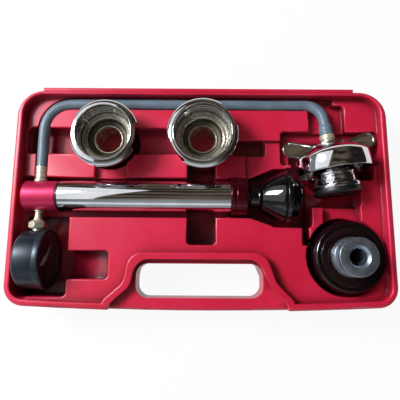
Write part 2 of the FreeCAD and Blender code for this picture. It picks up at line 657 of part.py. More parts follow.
def inner_tray():
    """Inner skin: rim, deck, handle face, pockets and hinge strip."""
    spaces, walls = pockets()
    back = "(hinge_strip_proud + back_rim)"
    inside = case_block("tray_inside", "rim_width", back, "0", "2*case_height")
    fence = case_block("tray_fence", "rim_width/2", "(hinge_strip_proud + back_rim/2)",
                       "shell_wall + seat_gap", f"{DECK} - shell_wall - seat_gap")
    off_handle = handle_zone("tray_off_handle", "rim_width", "-1", "2*case_height")
    off_linings = handle_zone("tray_off_linings", "rim_width/2", "-1", "2*case_height")
    open_inside = common("tray_open_inside", joined("tray_spaces", *spaces), inside)
    openings = cut("tray_openings", open_inside, off_handle)
    linings_inside = common("tray_linings_inside", joined("tray_walls", *walls), fence)
    linings = cut("tray_linings", linings_inside, off_linings)
    strip = box("hinge_strip", "hinge_strip_shift - hinge_strip_length/2",
                "case_depth/2 - hinge_strip_proud - 1",
                "case_height - hinge_strip_drop - hinge_strip_height", "hinge_strip_length",
                "hinge_strip_proud + 1", "hinge_strip_height")
    lined = joined("tray_lined", tray_frame(), linings, strip)
    slot = handle_slot("tray_slot", "0", "-1", "2*case_height")
    return keep("case_inner_tray", cut("case_inner_tray", lined, openings, slot))


# ---------------------------------------------------------------- hand pump

MANIFOLD_END = "(manifold_start + manifold_length)"
BORE = "(barrel_radius - barrel_wall)"
BARREL_START = "(manifold_start + manifold_length + gasket_width)"
SPIGOT_END = "(manifold_start + manifold_length + spigot_length)"
SEAT_FACE = "(manifold_start + manifold_length + spigot_length - valve_seat_length)"
BALL_X = f"({SEAT_FACE} - sqrt(ball_radius^2 - valve_hole^2) - fit_gap)"
SPRING_HEAD = f"({BALL_X} - ball_radius - fit_gap)"
VALVE_END = f"({SPRING_HEAD} - valve_spring_length - fit_gap)"
PUMP_AT = ("0", "0", "pump_z")
PORT_AT = ("port_centre", "0", "pump_z")


def manifold():
    """Red end block: valve bore along it and a port on each side."""
    blank = stand(turned("manifold_blank", (
        ("0", "manifold_start"), ("manifold_radius - manifold_chamfer", "manifold_start"),
        ("manifold_radius", "manifold_start + manifold_chamfer"),
        ("manifold_radius", f"{MANIFOLD_END} - manifold_chamfer/2"),
        ("manifold_radius - manifold_chamfer/2", MANIFOLD_END), (f"{BORE} - gasket_groove", MANIFOLD_END),
        (f"{BORE} - gasket_groove", BARREL_START), (f"{BORE} - fit_gap", BARREL_START),
        (f"{BORE} - fit_gap", SPIGOT_END), ("valve_bore", SPIGOT_END), ("valve_bore", VALVE_END),
        ("valve_gallery", VALVE_END), ("valve_gallery", "port_centre - valve_gallery"),
        ("0", "port_centre - valve_gallery"))), PUMP_AT, AXES["right"])
    ports = cylinder("manifold_ports", "port_radius", "2*manifold_radius",
                     ("port_centre", "-manifold_radius", "pump_z"), AXES["back"])
    spots = [cylinder("spot_face_" + side, "spot_radius", "manifold_radius",
                      ("port_centre", sign + "spot_face", "pump_z"), AXES[side])
             for side, sign in (("back", ""), ("front", "-"))]
    keep("pump_manifold", cut("pump_manifold", blank, ports, *spots))


def check_valve():
    """Seat, ball and spring in the manifold's bore."""
    seat = turned("check_valve_seat", (
        ("valve_hole", SEAT_FACE), ("valve_bore - fit_gap", SEAT_FACE), ("valve_bore - fit_gap", SPIGOT_END),
        ("valve_hole", SPIGOT_END)))
    keep("check_valve_seat", stand(seat, PUMP_AT, AXES["right"]))
    ball = doc.addObject("Part::Sphere", "check_valve_ball")
    tie(ball, Radius="ball_radius")
    keep("check_valve_ball", stand(ball, (BALL_X, "0", "pump_z")))
    ball_x = size("manifold_start") + size("manifold_length") + size("spigot_length")
    ball_x -= size("valve_seat_length") + math.sqrt(size("ball_radius") ** 2 - size("valve_hole") ** 2)
    end = ball_x - size("ball_radius") - size("valve_spring_length") - 2 * size("fit_gap")
    place = Placement(Vector(end, 0, size("pump_z")), AXES["right"])
    keep("check_valve_spring", coil("check_valve_spring", size("valve_spring_radius"),
                                    size("valve_spring_wire") / 2, size("valve_spring_length"), 6, place))


def barrel_and_collar():
    """Barrel, its gasket, the collar and the rod's bush."""
    groove = f"{BORE} - gasket_groove + fit_gap"
    bush_end = "grip_start - 2*side_gap"
    pieces = {
        "manifold_gasket": ((groove, MANIFOLD_END), ("gasket_radius", MANIFOLD_END),
                            ("gasket_radius", BARREL_START), (groove, BARREL_START)),
        "pump_barrel": ((BORE, BARREL_START), ("barrel_radius", BARREL_START),
                        ("barrel_radius", f"{BARREL_START} + barrel_length"),
                        (BORE, f"{BARREL_START} + barrel_length")),
        "rod_bush": (("rod_radius + run_gap", f"{bush_end} - bush_length"),
                     ("bush_radius", f"{bush_end} - bush_length"), ("bush_radius", bush_end),
                     ("rod_radius + run_gap", bush_end))}
    for node, profile in pieces.items():
        keep(node, stand(turned(node, profile), PUMP_AT, AXES["right"]))
    step = f"{BARREL_START} + barrel_length + fit_gap"
    end = "collar_start + collar_length"
    collar = turned("pump_collar", (
        ("barrel_radius + fit_gap", "collar_start"), ("collar_radius - collar_chamfer", "collar_start"),
        ("collar_radius", "collar_start + collar_chamfer"), ("collar_radius", "collar_start + 3.6*side_gap"),
        ("collar_radius - 0.5*side_gap", "collar_start + 4*side_gap"),
        ("collar_radius - 0.5*side_gap", "collar_start + 5*side_gap"),
        ("collar_radius", "collar_start + 5.4*side_gap"), ("collar_radius", f"{end} - 1.6*collar_chamfer"),
        ("collar_radius - 1.6*collar_chamfer", end), ("bush_radius + fit_gap", end),
        ("bush_radius + fit_gap", step), ("barrel_radius + fit_gap", step)))
    keep("pump_collar", stand(collar, PUMP_AT, AXES["right"]))


def plunger():
    """Rod with its pilot, piston, cup seal and nut."""
    shoulder = "(piston_start + piston_length)"
    base = "(piston_start - piston_length*0.15)"
    rim = f"({BORE} - run_gap)"
    pieces = {
        "plunger_rod": (("0", "rod_start"), ("piston_pilot", "rod_start"), ("piston_pilot", shoulder),
                        ("rod_radius", shoulder), ("rod_radius", "rod_end"), ("0", "rod_end")),
        "piston": (("piston_pilot + fit_gap", "piston_start"), (rim, "piston_start"),
                   (rim, "piston_start + piston_length*0.35"),
                   (f"{rim} - 2*side_gap", "piston_start + piston_length*0.4"),
                   (f"{rim} - 2*side_gap", "piston_start + piston_length*0.6"),
                   (rim, "piston_start + piston_length*0.65"), (rim, shoulder),
                   ("piston_pilot + fit_gap", shoulder)),
        "piston_cup_seal": (("piston_pilot + fit_gap", base), (f"{rim} - 1.6*side_gap", base),
                            (f"{rim} - 1.2*side_gap", "piston_start - cup_seal_length"),
                            (rim, "piston_start - cup_seal_length"), (rim, "piston_start"),
                            ("piston_pilot + fit_gap", "piston_start"))}
    for node, profile in pieces.items():
        keep(node, stand(turned(node, profile), PUMP_AT, AXES["right"]))
    low = f"{base} - piston_nut_length"
    nut = hexagon("piston_nut_blank", "piston_nut_across", "piston_nut_length",
                  (low, "0", "pump_z"), AXES["right"])
    hole = cylinder("piston_nut_hole", "piston_pilot + fit_gap", "2*piston_nut_length",
                    (f"{low} - side_gap", "0", "pump_z"), AXES["right"])
    keep("piston_nut", cut("piston_nut", nut, hole))


def grip():
    """Black pull grip with its brass insert, turning on the rod's end."""
    flange = "(grip_cone_end + 2*side_gap)"
    flange_end = "(grip_cone_end + 2*side_gap + grip_flange_width)"
    inside = "rod_end + side_gap"
    insert_start = "grip_start + grip_neck_length"
    body = turned("pump_grip", (
        ("rod_radius + seat_gap", "grip_start"), ("grip_neck_radius - side_gap", "grip_start"),
        ("grip_neck_radius", "grip_start + side_gap"), ("grip_neck_radius", "grip_start + grip_neck_length"),
        ("grip_neck_radius + 3.4*side_gap", "grip_start + grip_neck_length + 3*side_gap"),
        ("grip_flange_radius - 4*side_gap", "grip_cone_end - 6.5*side_gap"),
        ("grip_flange_radius - 0.9*side_gap", "grip_cone_end"),
        ("grip_flange_radius - 2.2*side_gap", "grip_cone_end + side_gap"), ("grip_flange_radius", flange),
        ("grip_flange_radius", flange_end), ("grip_dome_radius", f"{flange_end} + 1.6*side_gap"),
        ("grip_dome_radius - 0.5*side_gap", f"{flange_end} + 5*side_gap"),
        ("grip_dome_radius - 2.4*side_gap", "grip_end - 4.2*side_gap"),
        ("grip_dome_radius - 6.5*side_gap", "grip_end - 1.2*side_gap"),
        ("grip_dome_radius - 12*side_gap", "grip_end"), ("0", "grip_end"), ("0", inside),
        ("insert_radius + fit_gap", inside), ("insert_radius + fit_gap", insert_start),
        ("rod_radius + seat_gap", insert_start)))
    doc.recompute()
    flange_at = size("grip_cone_end") + 2 * size("side_gap")
    for level in (flange_at, flange_at + size("grip_flange_width")):
        round_edges(body, at_level(level), "side_gap")
    keep("pump_grip", stand(body, PUMP_AT, AXES["right"]))
    insert = turned("grip_insert", (("rod_radius + run_gap", insert_start), ("insert_radius", insert_start),
                                    ("insert_radius", inside), ("rod_radius + run_gap", inside)))
    keep("grip_insert", stand(insert, PUMP_AT, AXES["right"]))


# ------------------------------------------------------------ pressure gauge

GAUGE_AT = ("gauge_back", "gauge_y", "pump_z")
STEM_LEVEL = "(port_centre - gauge_back)"


def gauge_stem():
    """Brass neck and hexagon between the manifold and the gauge."""
    core = turned("stem_core", (
        ("stem_neck_radius/3", "spot_face - 5*side_gap"), ("port_radius - fit_gap", "spot_face - 5*side_gap"),
        ("port_radius - fit_gap", "spot_face"), ("stem_neck_radius + side_gap", "spot_face"),
        ("stem_neck_radius + side_gap", "spot_face + side_gap"),
        ("stem_neck_radius", "spot_face + 1.5*side_gap"),
        ("stem_neck_radius", "-stem_hex_start"), ("stem_shank_radius", "-stem_hex_start"),
        ("stem_shank_radius", "-stem_shank_end"), ("stem_neck_radius/3", "-stem_shank_end")))
    stand(core, PORT_AT, AXES["front"])
    blank = hexagon("stem_hex_blank", "stem_hex_across", "stem_hex_start - stem_hex_end",
                    ("port_centre", "stem_hex_start", "pump_z"), AXES["front"])
    facing = stand(turned("stem_facing", (
        ("stem_shank_radius", "-stem_hex_start"), ("stem_hex_across/2", "-stem_hex_start"),
        ("stem_hex_across*0.58", "-stem_hex_start + side_gap"),
        ("stem_hex_across*0.58", "-stem_hex_end - side_gap"), ("stem_hex_across/2", "-stem_hex_end"),
        ("stem_shank_radius", "-stem_hex_end"))), PORT_AT, AXES["front"])
    keep("gauge_stem", joined("gauge_stem", core, common("stem_hex", blank, facing)))


def gauge_shell():
    """Case, bezel, lens and dial."""
    inner = "gauge_case_radius - gauge_wall"
    case = turned("gauge_case_blank", (
        ("0", "0"), ("gauge_case_radius - 1.5*side_gap", "0"), ("gauge_case_radius", "1.5*side_gap"),
        ("gauge_case_radius", "gauge_case_depth"), (inner, "gauge_case_depth"), (inner, "gauge_wall"),
        ("0", "gauge_wall")))
    stand(case, GAUGE_AT, AXES["right"])
    hole = cylinder("gauge_case_hole", "stem_shank_radius + fit_gap", "10*side_gap",
                    ("port_centre", "stem_hex_end", "pump_z"), AXES["front"])
    keep("gauge_case", cut("gauge_case", case, hole))
    lens_top = "gauge_case_depth + lens_thickness"
    lens_radius = "gauge_case_radius - fit_gap"
    dial_radius = f"{inner} - seat_gap"
    hub_hole = "hub_radius - 0.6*side_gap"
    pieces = {
        "gauge_bezel": (("gauge_case_radius + fit_gap/2", "bezel_start"), ("bezel_radius", "bezel_start"),
                        ("bezel_radius", "bezel_front - 0.6*side_gap"),
                        ("bezel_radius - 0.6*side_gap", "bezel_front"),
                        ("bezel_radius - bezel_lip", "bezel_front"), ("bezel_radius - bezel_lip", lens_top),
                        ("gauge_case_radius + fit_gap/2", lens_top)),
        "gauge_lens": (("0", "gauge_case_depth"), (lens_radius, "gauge_case_depth"), (lens_radius, lens_top),
                       ("0", lens_top)),
        "gauge_dial": ((hub_hole, "dial_height"), (dial_radius, "dial_height"),
                       (dial_radius, "dial_height + dial_thickness"),
                       (hub_hole, "dial_height + dial_thickness"))}
    for node, profile in pieces.items():
        keep(node, stand(turned(node, profile), GAUGE_AT, AXES["right"]))


def at_gauge(item, angle=0.0):
    """Put a piece that was drawn in the gauge's own frame into the gauge."""
    return stand(item, GAUGE_AT, AXES["right"] * Rotation(Vector(0, 0, 1), angle))


def plate(label, points, low, height):
    """A flat plate in the gauge's own frame."""
    body = new_body(label)
    draw_polygon(new_sketch(body, "XY_Plane", low), points)
    pad(body, body.Group[0], height)
    return body


def gauge_inside():
    """Socket, Bourdon tube and movement frame."""
    half = "socket_size/2"
    socket_low = "(stem_shank_end - gauge_y - socket_length)"
    socket_top = "(stem_shank_end - gauge_y)"
    socket = plate("gauge_socket", ((f"-{half}", socket_low), (half, socket_low), (half, socket_top),
                                    (f"-{half}", socket_top)), f"{STEM_LEVEL} - {half}", "socket_size")
    keep("gauge_socket", at_gauge(socket))
    tube = turned("tube_arc", (
        ("tube_radius - tube_width/2", f"{STEM_LEVEL} - tube_height/2"),
        ("tube_radius + tube_width/2", f"{STEM_LEVEL} - tube_height/2"),
        ("tube_radius + tube_width/2", f"{STEM_LEVEL} + tube_height/2"),
        ("tube_radius - tube_width/2", f"{STEM_LEVEL} + tube_height/2")), "tube_sweep")
    at_gauge(tube, 90.0)
    keep("gauge_bourdon_tube", cut("gauge_bourdon_tube", tube, socket))
    wide = "frame_width/2"
    end = "(gear_pivot + 1.6*side_gap)"
    plates = []
    for name, low in (("low", "frame_low"), ("high", "frame_high")):
        plates.append(plate("frame_" + name, (("-" + wide, "-" + end), (wide, "-" + end), (wide, socket_low),
                                              ("-" + wide, socket_low)), low, "frame_plate"))
    posts = [cylinder("frame_post_" + side, "side_gap", "frame_high - frame_low",
                      (sign + f"({wide} - 1.3*side_gap)", f"{socket_low} - 1.5*side_gap", "frame_low"))
             for side, sign in (("a", ""), ("b", "-"))]
    holes = [cylinder("frame_hole_" + name, "arbor_radius + run_gap", "case_height", ("0", y, "0"))
             for name, y in (("arbor", "0"), ("pivot", "-gear_pivot"))]
    frame = cut("frame_group", joined("frame_joined", *plates, *posts), *holes)
    keep("gauge_movement_frame", at_gauge(frame))


def gauge_moving():
    """Pointer with its arbor and pinion, and the sector gear that drives it."""
    needle_low = "dial_height + dial_thickness + needle_rise"
    needle = plate("needle_blade", (
        ("-needle_tail", "-needle_width"), ("hub_radius", "-needle_width"),
        ("needle_length", "-needle_width/5"), ("needle_length", "needle_width/5"),
        ("hub_radius", "needle_width"), ("-needle_tail", "needle_width")),
        needle_low, "0.8*side_gap")
    arbor = cylinder("needle_arbor", "arbor_radius", f"{needle_low} - frame_low",
                     ("0", "0", "frame_low"))
    hub = cylinder("needle_hub", "hub_radius", "side_gap", ("0", "0", needle_low))
    pinion = cylinder("needle_pinion", "pinion_radius", "gear_thickness", ("0", "0", "gear_low"))
    keep("gauge_pointer", at_gauge(joined("gauge_pointer", needle, arbor, hub, pinion), size("needle_rest")))
    disc = turned("sector_disc", (("0", "gear_low"), ("sector_radius", "gear_low"),
                                  ("sector_radius", "gear_low + gear_thickness"),
                                  ("0", "gear_low + gear_thickness")), "sector_angle")
    lead = 90 - size("sector_angle") / 2 - size("sector_rest")
    disc.Placement = Placement(Vector(), Rotation(Vector(0, 0, 1), lead))
    pivot = cylinder("sector_pivot", "arbor_radius", "frame_high + frame_plate - frame_low",
                     ("0", "0", "frame_low"))
    hub = cylinder("sector_hub", "2*arbor_radius", "gear_thickness", ("0", "0", "gear_low"))
    gear = joined("gauge_sector_gear", disc, pivot, hub)
    keep("gauge_sector_gear", stand(gear, ("gauge_back", "gauge_y - gear_pivot", "pump_z"), AXES["right"]))


# ------------------------------------------------------- hose and test head

def head_place():
    """The test head's own frame: local Z runs from the stem to the seal."""
    at = Vector(size("head_x"), size("head_y"), size("head_z"))
    turn = Rotation(Vector(0, 0, 1), size("head_yaw")) * Rotation(Vector(1, 0, 0), 90)
    return Placement(at, turn)


def at_head(item):
    """Put a piece that was drawn in the head's own frame into place."""
    return stand(item, ("head_x", "head_y", "head_z"), head_place().Rotation)


def coil(label, radius, wire, length, turns, place):
    """A helical spring between two end planes, from straight-sided steps of its wire."""
    rise = length - 2 * wire
    count = turns * COIL_STEPS
    sections = []
    for k in range(count + 1):
        angle = 2 * math.pi * k / COIL_STEPS
        out = Vector(math.cos(angle), math.sin(angle), 0)
        middle = out * radius + Vector(0, 0, wire + rise * k / count)
        around = [2 * math.pi * j / COIL_SIDES for j in range(COIL_SIDES)]
        corners = [middle + out * (wire * math.cos(turn)) + Vector(0, 0, wire * math.sin(turn))
                   for turn in around]
        sections.append(Part.makePolygon(corners + corners[:1]))
    return solid_of(label, Part.makeLoft(sections, True, True), place)


def hose_points():
    """The hose's corner points, ending square on the test head's barb."""
    place = head_place()
    start = size("head_ferrule_start") - size("swell_length")
    end = place.multVec(Vector(0, 0, start))
    last_corner = place.multVec(Vector(0, 0, start - size("hose_last_run")))
    route = [Vector(size(place) + across, size("hose_run_y") + along, size("hose_z") + up)
             for place, across, along, up in HOSE_ROUTE]
    return route + [last_corner, end]


def rounded_path(points):
    """Straight runs joined by tangent arcs, and the radius of each arc."""
    edges = []
    radii = []
    here = points[0]
    for before, corner, after in zip(points, points[1:], points[2:]):
        way_in = (corner - before).normalize()
        way_out = (after - corner).normalize()
        half_turn = way_in.getAngle(way_out) / 2
        reach = ARC_SHARE * min((corner - before).Length, (after - corner).Length)
        radius = reach / math.tan(half_turn)
        start = corner - way_in * reach
        finish = corner + way_out * reach
        inward = (way_out - way_in).normalize()
        middle = corner + inward * (radius / math.cos(half_turn) - radius)
        edges.append(Part.makeLine(here, start))
        edges.append(Part.Arc(start, middle, finish).toShape())
        radii.append(radius)
        here = finish
    edges.append(Part.makeLine(here, points[-1]))
    return Part.Wire(edges), radii


def swept(path, radius, start, direction):
    """A round bar along a path."""
    ring = Part.Wire(Part.makeCircle(radius, start, direction))
    return path.makePipeShell([ring], True, False)


def hose():
    """The hose along its route, its swollen end and its two ferrules."""
    points = hose_points()
    path, radii = rounded_path(points)
    way = points[1] - points[0]
    outside = swept(path, size("hose_radius"), points[0], way)
    inside = swept(path, size("hose_bore"), points[0], way)
    shape = outside.cut(inside)
    section = math.pi * (size("hose_radius") ** 2 - size("hose_bore") ** 2)
    print(f"hose length {path.Length:.1f} mm, smallest bend {min(radii):.1f} mm, "
          f"volume over section x length {shape.Volume / (section * path.Length):.4f}")
    print("bend radii", [round(radius, 1) for radius in radii])
    keep("hose", solid_of("hose", shape))
    tip = "(spot_face + ferrule_foot + ferrule_length)"
    grooved = ferrule_grooves("ferrule_radius", "(spot_face + ferrule_foot)", tip)
    ferrule = turned("hose_ferrule_pump", (
        ("hose_bore/2", "spot_face - 5*side_gap"), ("port_radius - fit_gap", "spot_face - 5*side_gap"),
        ("port_radius - fit_gap", "spot_face"), ("ferrule_foot_radius", "spot_face"),
        ("ferrule_foot_radius", "spot_face + ferrule_foot*0.55"),
        ("ferrule_radius - 0.8*side_gap", "spot_face + ferrule_foot*0.8"),
        ("ferrule_radius - 0.8*side_gap", "spot_face + ferrule_foot"), *grooved, ("hose_bore/2", tip)))
    keep("hose_ferrule_pump", stand(ferrule, PORT_AT, AXES["back"]))


def ferrule_grooves(radius, low, high):
    """The outline of a ferrule with two crimped grooves."""
    marks = []
    for share, sunk in ((0.0, 0), (0.26, 0), (0.3, 1), (0.42, 1), (0.46, 0), (0.62, 0), (0.66, 1),
                        (0.78, 1), (0.82, 0), (1.0, 0)):
        level = f"{low} + {share}*({high} - {low})"
        marks.append((f"{radius} - {0.5 * sunk}*side_gap", level))
    return marks


def head_pieces():
    """The test head: stem, ferrule, hose end, cap, wings, spring and seal."""
    start = "head_ferrule_start"
    collar_low = "(-0.4*side_gap - stem_collar_length)"
    clear = "(stem_radius + run_gap)"
    cup_low = "(spring_cup_end - 1.5*side_gap)"
    seal_end = "(spring_cup_end + seal_plate)"
    gasket_end = f"({seal_end} + head_gasket_thick)"
    pieces = {
        "hose_end_on_barb": (("hose_bore", f"{start} - swell_length"),
                             ("hose_radius", f"{start} - swell_length"),
                             ("swell_radius - 0.3*side_gap", f"{start} - swell_length + 2.5*side_gap"),
                             ("swell_radius", f"{start} - swell_length/2"),
                             ("swell_radius", f"{start} - 0.4*side_gap"),
                             ("swell_radius - 0.4*side_gap", start),
                             ("hose_bore", start)),
        "hose_ferrule_head": (("hose_bore", start), ("head_ferrule_radius - 0.4*side_gap", start),
                              ("head_ferrule_radius", f"{start} + 0.4*side_gap"),
                              ("head_ferrule_radius", f"{collar_low} - 2.4*side_gap"),
                              ("head_ferrule_radius - side_gap", f"{collar_low} - 2*side_gap"),
                              ("head_ferrule_radius - side_gap", collar_low), ("hose_bore", collar_low)),
        "head_stem": (("stem_bore/2", f"{start} - swell_length + side_gap"),
                      ("hose_bore - fit_gap", f"{start} - swell_length + side_gap"),
                      ("hose_bore - fit_gap", collar_low), ("stem_collar_radius - 0.6*side_gap", collar_low),
                      ("stem_collar_radius", f"{collar_low} + 0.6*side_gap"),
                      ("stem_collar_radius", "-fit_gap"), ("stem_radius", "-fit_gap"),
                      ("stem_radius", "stem_end"), ("stem_bore/2", "stem_end")),
        "head_spring_cup": ((clear, cup_low), ("spring_cup_radius - 1.5*side_gap", cup_low),
                            ("spring_cup_radius - 1.5*side_gap", "spring_cup_start"),
                            ("spring_cup_radius", "spring_cup_start"),
                            ("spring_cup_radius", f"{cup_low} - 7*side_gap"),
                            ("spring_cup_radius - 0.7*side_gap", f"{cup_low} - 6.5*side_gap"),
                            ("spring_cup_radius - 0.7*side_gap", f"{cup_low} - 4.5*side_gap"),
                            ("spring_cup_radius", f"{cup_low} - 4*side_gap"),
                            ("spring_cup_radius", "spring_cup_end - 0.6*side_gap"),
                            ("spring_cup_radius - 0.6*side_gap", "spring_cup_end"),
                            (clear, "spring_cup_end")),
        "head_seal_plate": ((clear, "spring_cup_end"), ("seal_radius - side_gap", "spring_cup_end"),
                            ("seal_radius", "spring_cup_end + side_gap"), ("seal_radius", seal_end),
                            (clear, seal_end)),
        "head_gasket": (("seal_hub_radius", seal_end), ("seal_radius", seal_end),
                        ("seal_radius", f"{gasket_end} - 1.2*side_gap"),
                        ("seal_radius - 1.2*side_gap", gasket_end),
                        ("seal_hub_radius + side_gap", gasket_end),
                        ("seal_hub_radius", f"{gasket_end} - side_gap"))}
    for node, profile in pieces.items():
        keep(node, at_head(turned(node, profile)))
    spring_low = size("cap_wall") + size("fit_gap")
    spring_high = size("spring_cup_end") - 1.5 * size("side_gap") - size("fit_gap")
    lift = Placement(Vector(0, 0, spring_low), Rotation())
    keep("head_spring", coil("head_spring", size("spring_radius"), size("spring_wire") / 2,
                             spring_high - spring_low, 6, head_place().multiply(lift)))
    head_nuts(seal_end)


def head_nuts(seal_end):
    """The nut that holds the cap on the stem and the one under the seal."""
    nuts = []
    for name, across, low in (("cap", "head_nut_across", "cap_wall + fit_gap"),
                              ("seal", "seal_nut_across", f"{seal_end} + fit_gap")):
        blank = hexagon("nut_blank_" + name, across, "head_nut_length", ("0", "0", low))
        hole = cylinder("nut_hole_" + name, "stem_radius + fit_gap", "4*head_nut_length",
                        ("0", "0", f"{low} - side_gap"))
        nuts.append(cut("nut_" + name, blank, hole))
    group = doc.addObject("Part::Compound", "head_retaining_nut")
    group.Links = nuts
    keep("head_retaining_nut", at_head(group))


DOME = (("cap_crown", "0"), ("cap_crown + 4.2*side_gap", "1.7*side_gap"),
        ("cap_radius - 6*side_gap", "cap_shoulder - 5.1*side_gap"),
        ("cap_radius - 1.8*side_gap", "cap_shoulder - 1.8*side_gap"),
        ("cap_radius", "cap_shoulder + side_gap"))


def head_cap():
    """The chrome cap with its two inward lugs, and the two flat wings."""
    under = [(f"{radius} - 0.7*cap_wall", f"{level} + 0.9*cap_wall") for radius, level in DOME[1:-1]]
    skin = turned("cap_skin", (
        ("stem_radius + run_gap", "0"), *DOME, ("cap_radius", "cap_length"),
        ("cap_radius - cap_wall", "cap_length"), ("cap_radius - cap_wall", "cap_shoulder + 1.6*side_gap"),
        *reversed(under), ("cap_crown", "cap_wall"), ("stem_radius + run_gap", "cap_wall")))
    lug_tip = "cap_radius - cap_wall - cap_lug"
    lug_root = "cap_radius - cap_wall/2"
    lug_ring = turned("cap_lug_ring", (
        (lug_tip, "cap_length - cap_wall"), (lug_root, "cap_length - cap_wall"),
        (lug_root, "cap_length"), (lug_tip, "cap_length")))
    bar = box("cap_lug_bar", "-cap_lug*3", "-cap_radius", "0", "cap_lug*6", "2*cap_radius", "2*cap_length")
    keep("head_cap", at_head(joined("head_cap", skin, common("cap_lugs", lug_ring, bar))))
    lobe_y = "wing_shift"
    lobe_x = "(wing_reach - wing_lobe)"
    wings = []
    for name, sign in (("a", ""), ("b", "-")):
        body = new_body("wing_blade_" + name)
        outline = [("cap_crown - 3*side_gap", "-wing_thickness/2"), ("cap_crown - 3*side_gap", "0"),
                   *DOME[:-1], (f"{lobe_x} + 3*side_gap", f"{lobe_y} + 0.9*wing_lobe"),
                   (lobe_x, f"{lobe_y} - wing_lobe"),
                   (f"{lobe_x} - 6*side_gap", f"{lobe_y} - 0.7*wing_lobe"),
                   ("cap_crown + 3*side_gap", "-1.2*wing_thickness")]
        draw_polygon(new_sketch(body, "XZ_Plane", "-wing_thickness/2"),
                     [(f"{sign}({x})", y) for x, y in outline])
        pad(body, body.Group[0], "wing_thickness")
        wings.append(body)
        wings.append(cylinder("wing_lobe_" + name, "wing_lobe", "wing_thickness",
                              (f"{sign}{lobe_x}", "wing_thickness/2", lobe_y), AXES["front"]))
    hole = "stem_collar_radius + seat_gap"
    ring = turned("wing_ring", ((hole, "-1.2*side_gap"), ("cap_crown", "-1.2*side_gap"),
                                ("cap_crown", "0"), (hole, "0")))
    keep("head_wings", at_head(joined("head_wings", *wings, ring)))


# ------------------------------------------------------------- neck adaptors

def neck_adaptor(name, spread, x, y, notch_angle):
    """One open cup: can, cam ring, seat and gasket."""
    at = (x, y, "cup_base")
    can = f"(cup_radius + {spread})"
    bore = f"(cup_bore + {spread})"
    ring = f"(cup_ring_radius + {spread})"
    ring_top = "(cup_height - cup_ring_drop)"
    ring_low = "(cup_height - cup_ring_drop - cup_ring_thick)"
    seat_top = "(cup_height - cup_seat_depth)"
    step = "(cup_height - cup_hole_depth)"
    undercut = f"({step} + cup_gasket_height + 0.2*side_gap)"
    body = turned(name + "_body", (
        ("cup_hole_radius", "0"), (f"{can} - 4*side_gap", "0"), (f"{can} - 1.2*side_gap", "side_gap"),
        (can, "3.5*side_gap"), (can, f"{ring_low} - 2.2*side_gap"),
        (f"{can} + 0.8*side_gap", f"{ring_low} - fit_gap"), (can, f"{ring_low} - fit_gap"),
        (can, "cup_height - 0.5*side_gap"), (f"{can} - 0.4*side_gap", "cup_height"),
        (f"{bore} + 0.4*side_gap", "cup_height"),
        (bore, "cup_height - side_gap"), (bore, seat_top), (f"{bore} - cup_shoulder", seat_top),
        (f"{bore} - cup_shoulder", "cup_floor"), ("cup_hole_radius", "cup_floor")))
    keep(name + "_body", stand(body, at))
    seat = turned(name + "_seat", (
        ("cup_hole_radius", "cup_floor"), (f"{bore} - cup_shoulder - fit_gap", "cup_floor"),
        (f"{bore} - cup_shoulder - fit_gap", seat_top), ("cup_seat_radius + 0.6*side_gap", seat_top),
        ("cup_seat_radius", f"{seat_top} - 0.6*side_gap"), ("cup_seat_radius", undercut),
        ("cup_seat_radius + cup_shoulder", undercut), ("cup_seat_radius + cup_shoulder", step),
        ("cup_hole_radius", step)))
    keep(name + "_seat", stand(seat, at))
    gasket = turned(name + "_gasket", (
        ("cup_hole_radius + side_gap", step), ("cup_seat_radius + cup_shoulder - fit_gap", step),
        ("cup_seat_radius + cup_shoulder - fit_gap", f"{step} + 0.6*cup_gasket_height"),
        ("cup_seat_radius - 1.5*side_gap", f"{step} + cup_gasket_height"),
        ("cup_hole_radius + side_gap", f"{step} + 0.7*cup_gasket_height")))
    keep(name + "_gasket", stand(gasket, at))
    flange = turned(name + "_flange", (
        (f"{can} + fit_gap", ring_low), (f"{ring} - 1.4*side_gap", ring_low),
        (f"{ring} - 1.4*side_gap", f"{ring_low} - 3*side_gap"), (ring, f"{ring_low} - 3*side_gap"),
        (ring, f"{ring_low} - 0.2*side_gap"), (f"{ring} - 0.6*side_gap", f"{ring_low} + 0.6*side_gap"),
        (f"{can} + 1.6*side_gap", ring_top), (f"{can} + fit_gap", ring_top)))
    bar = box(name + "_notch_bar", "-cup_ring_radius*2", "-cup_notch_width/2", f"{ring_low} - 5*side_gap",
              "cup_ring_radius*4", "cup_notch_width", "20*side_gap")
    core = cylinder(name + "_notch_core", f"{ring} - cup_notch_depth", "cup_height*2")
    bar.Placement = Placement(Vector(), Rotation())
    notches = cut(name + "_notches", bar, core)
    notched = cut(name + "_cam_ring", flange, notches)
    keep(name + "_cam_ring", stand(notched, at, Rotation(Vector(0, 0, 1), size(notch_angle))))


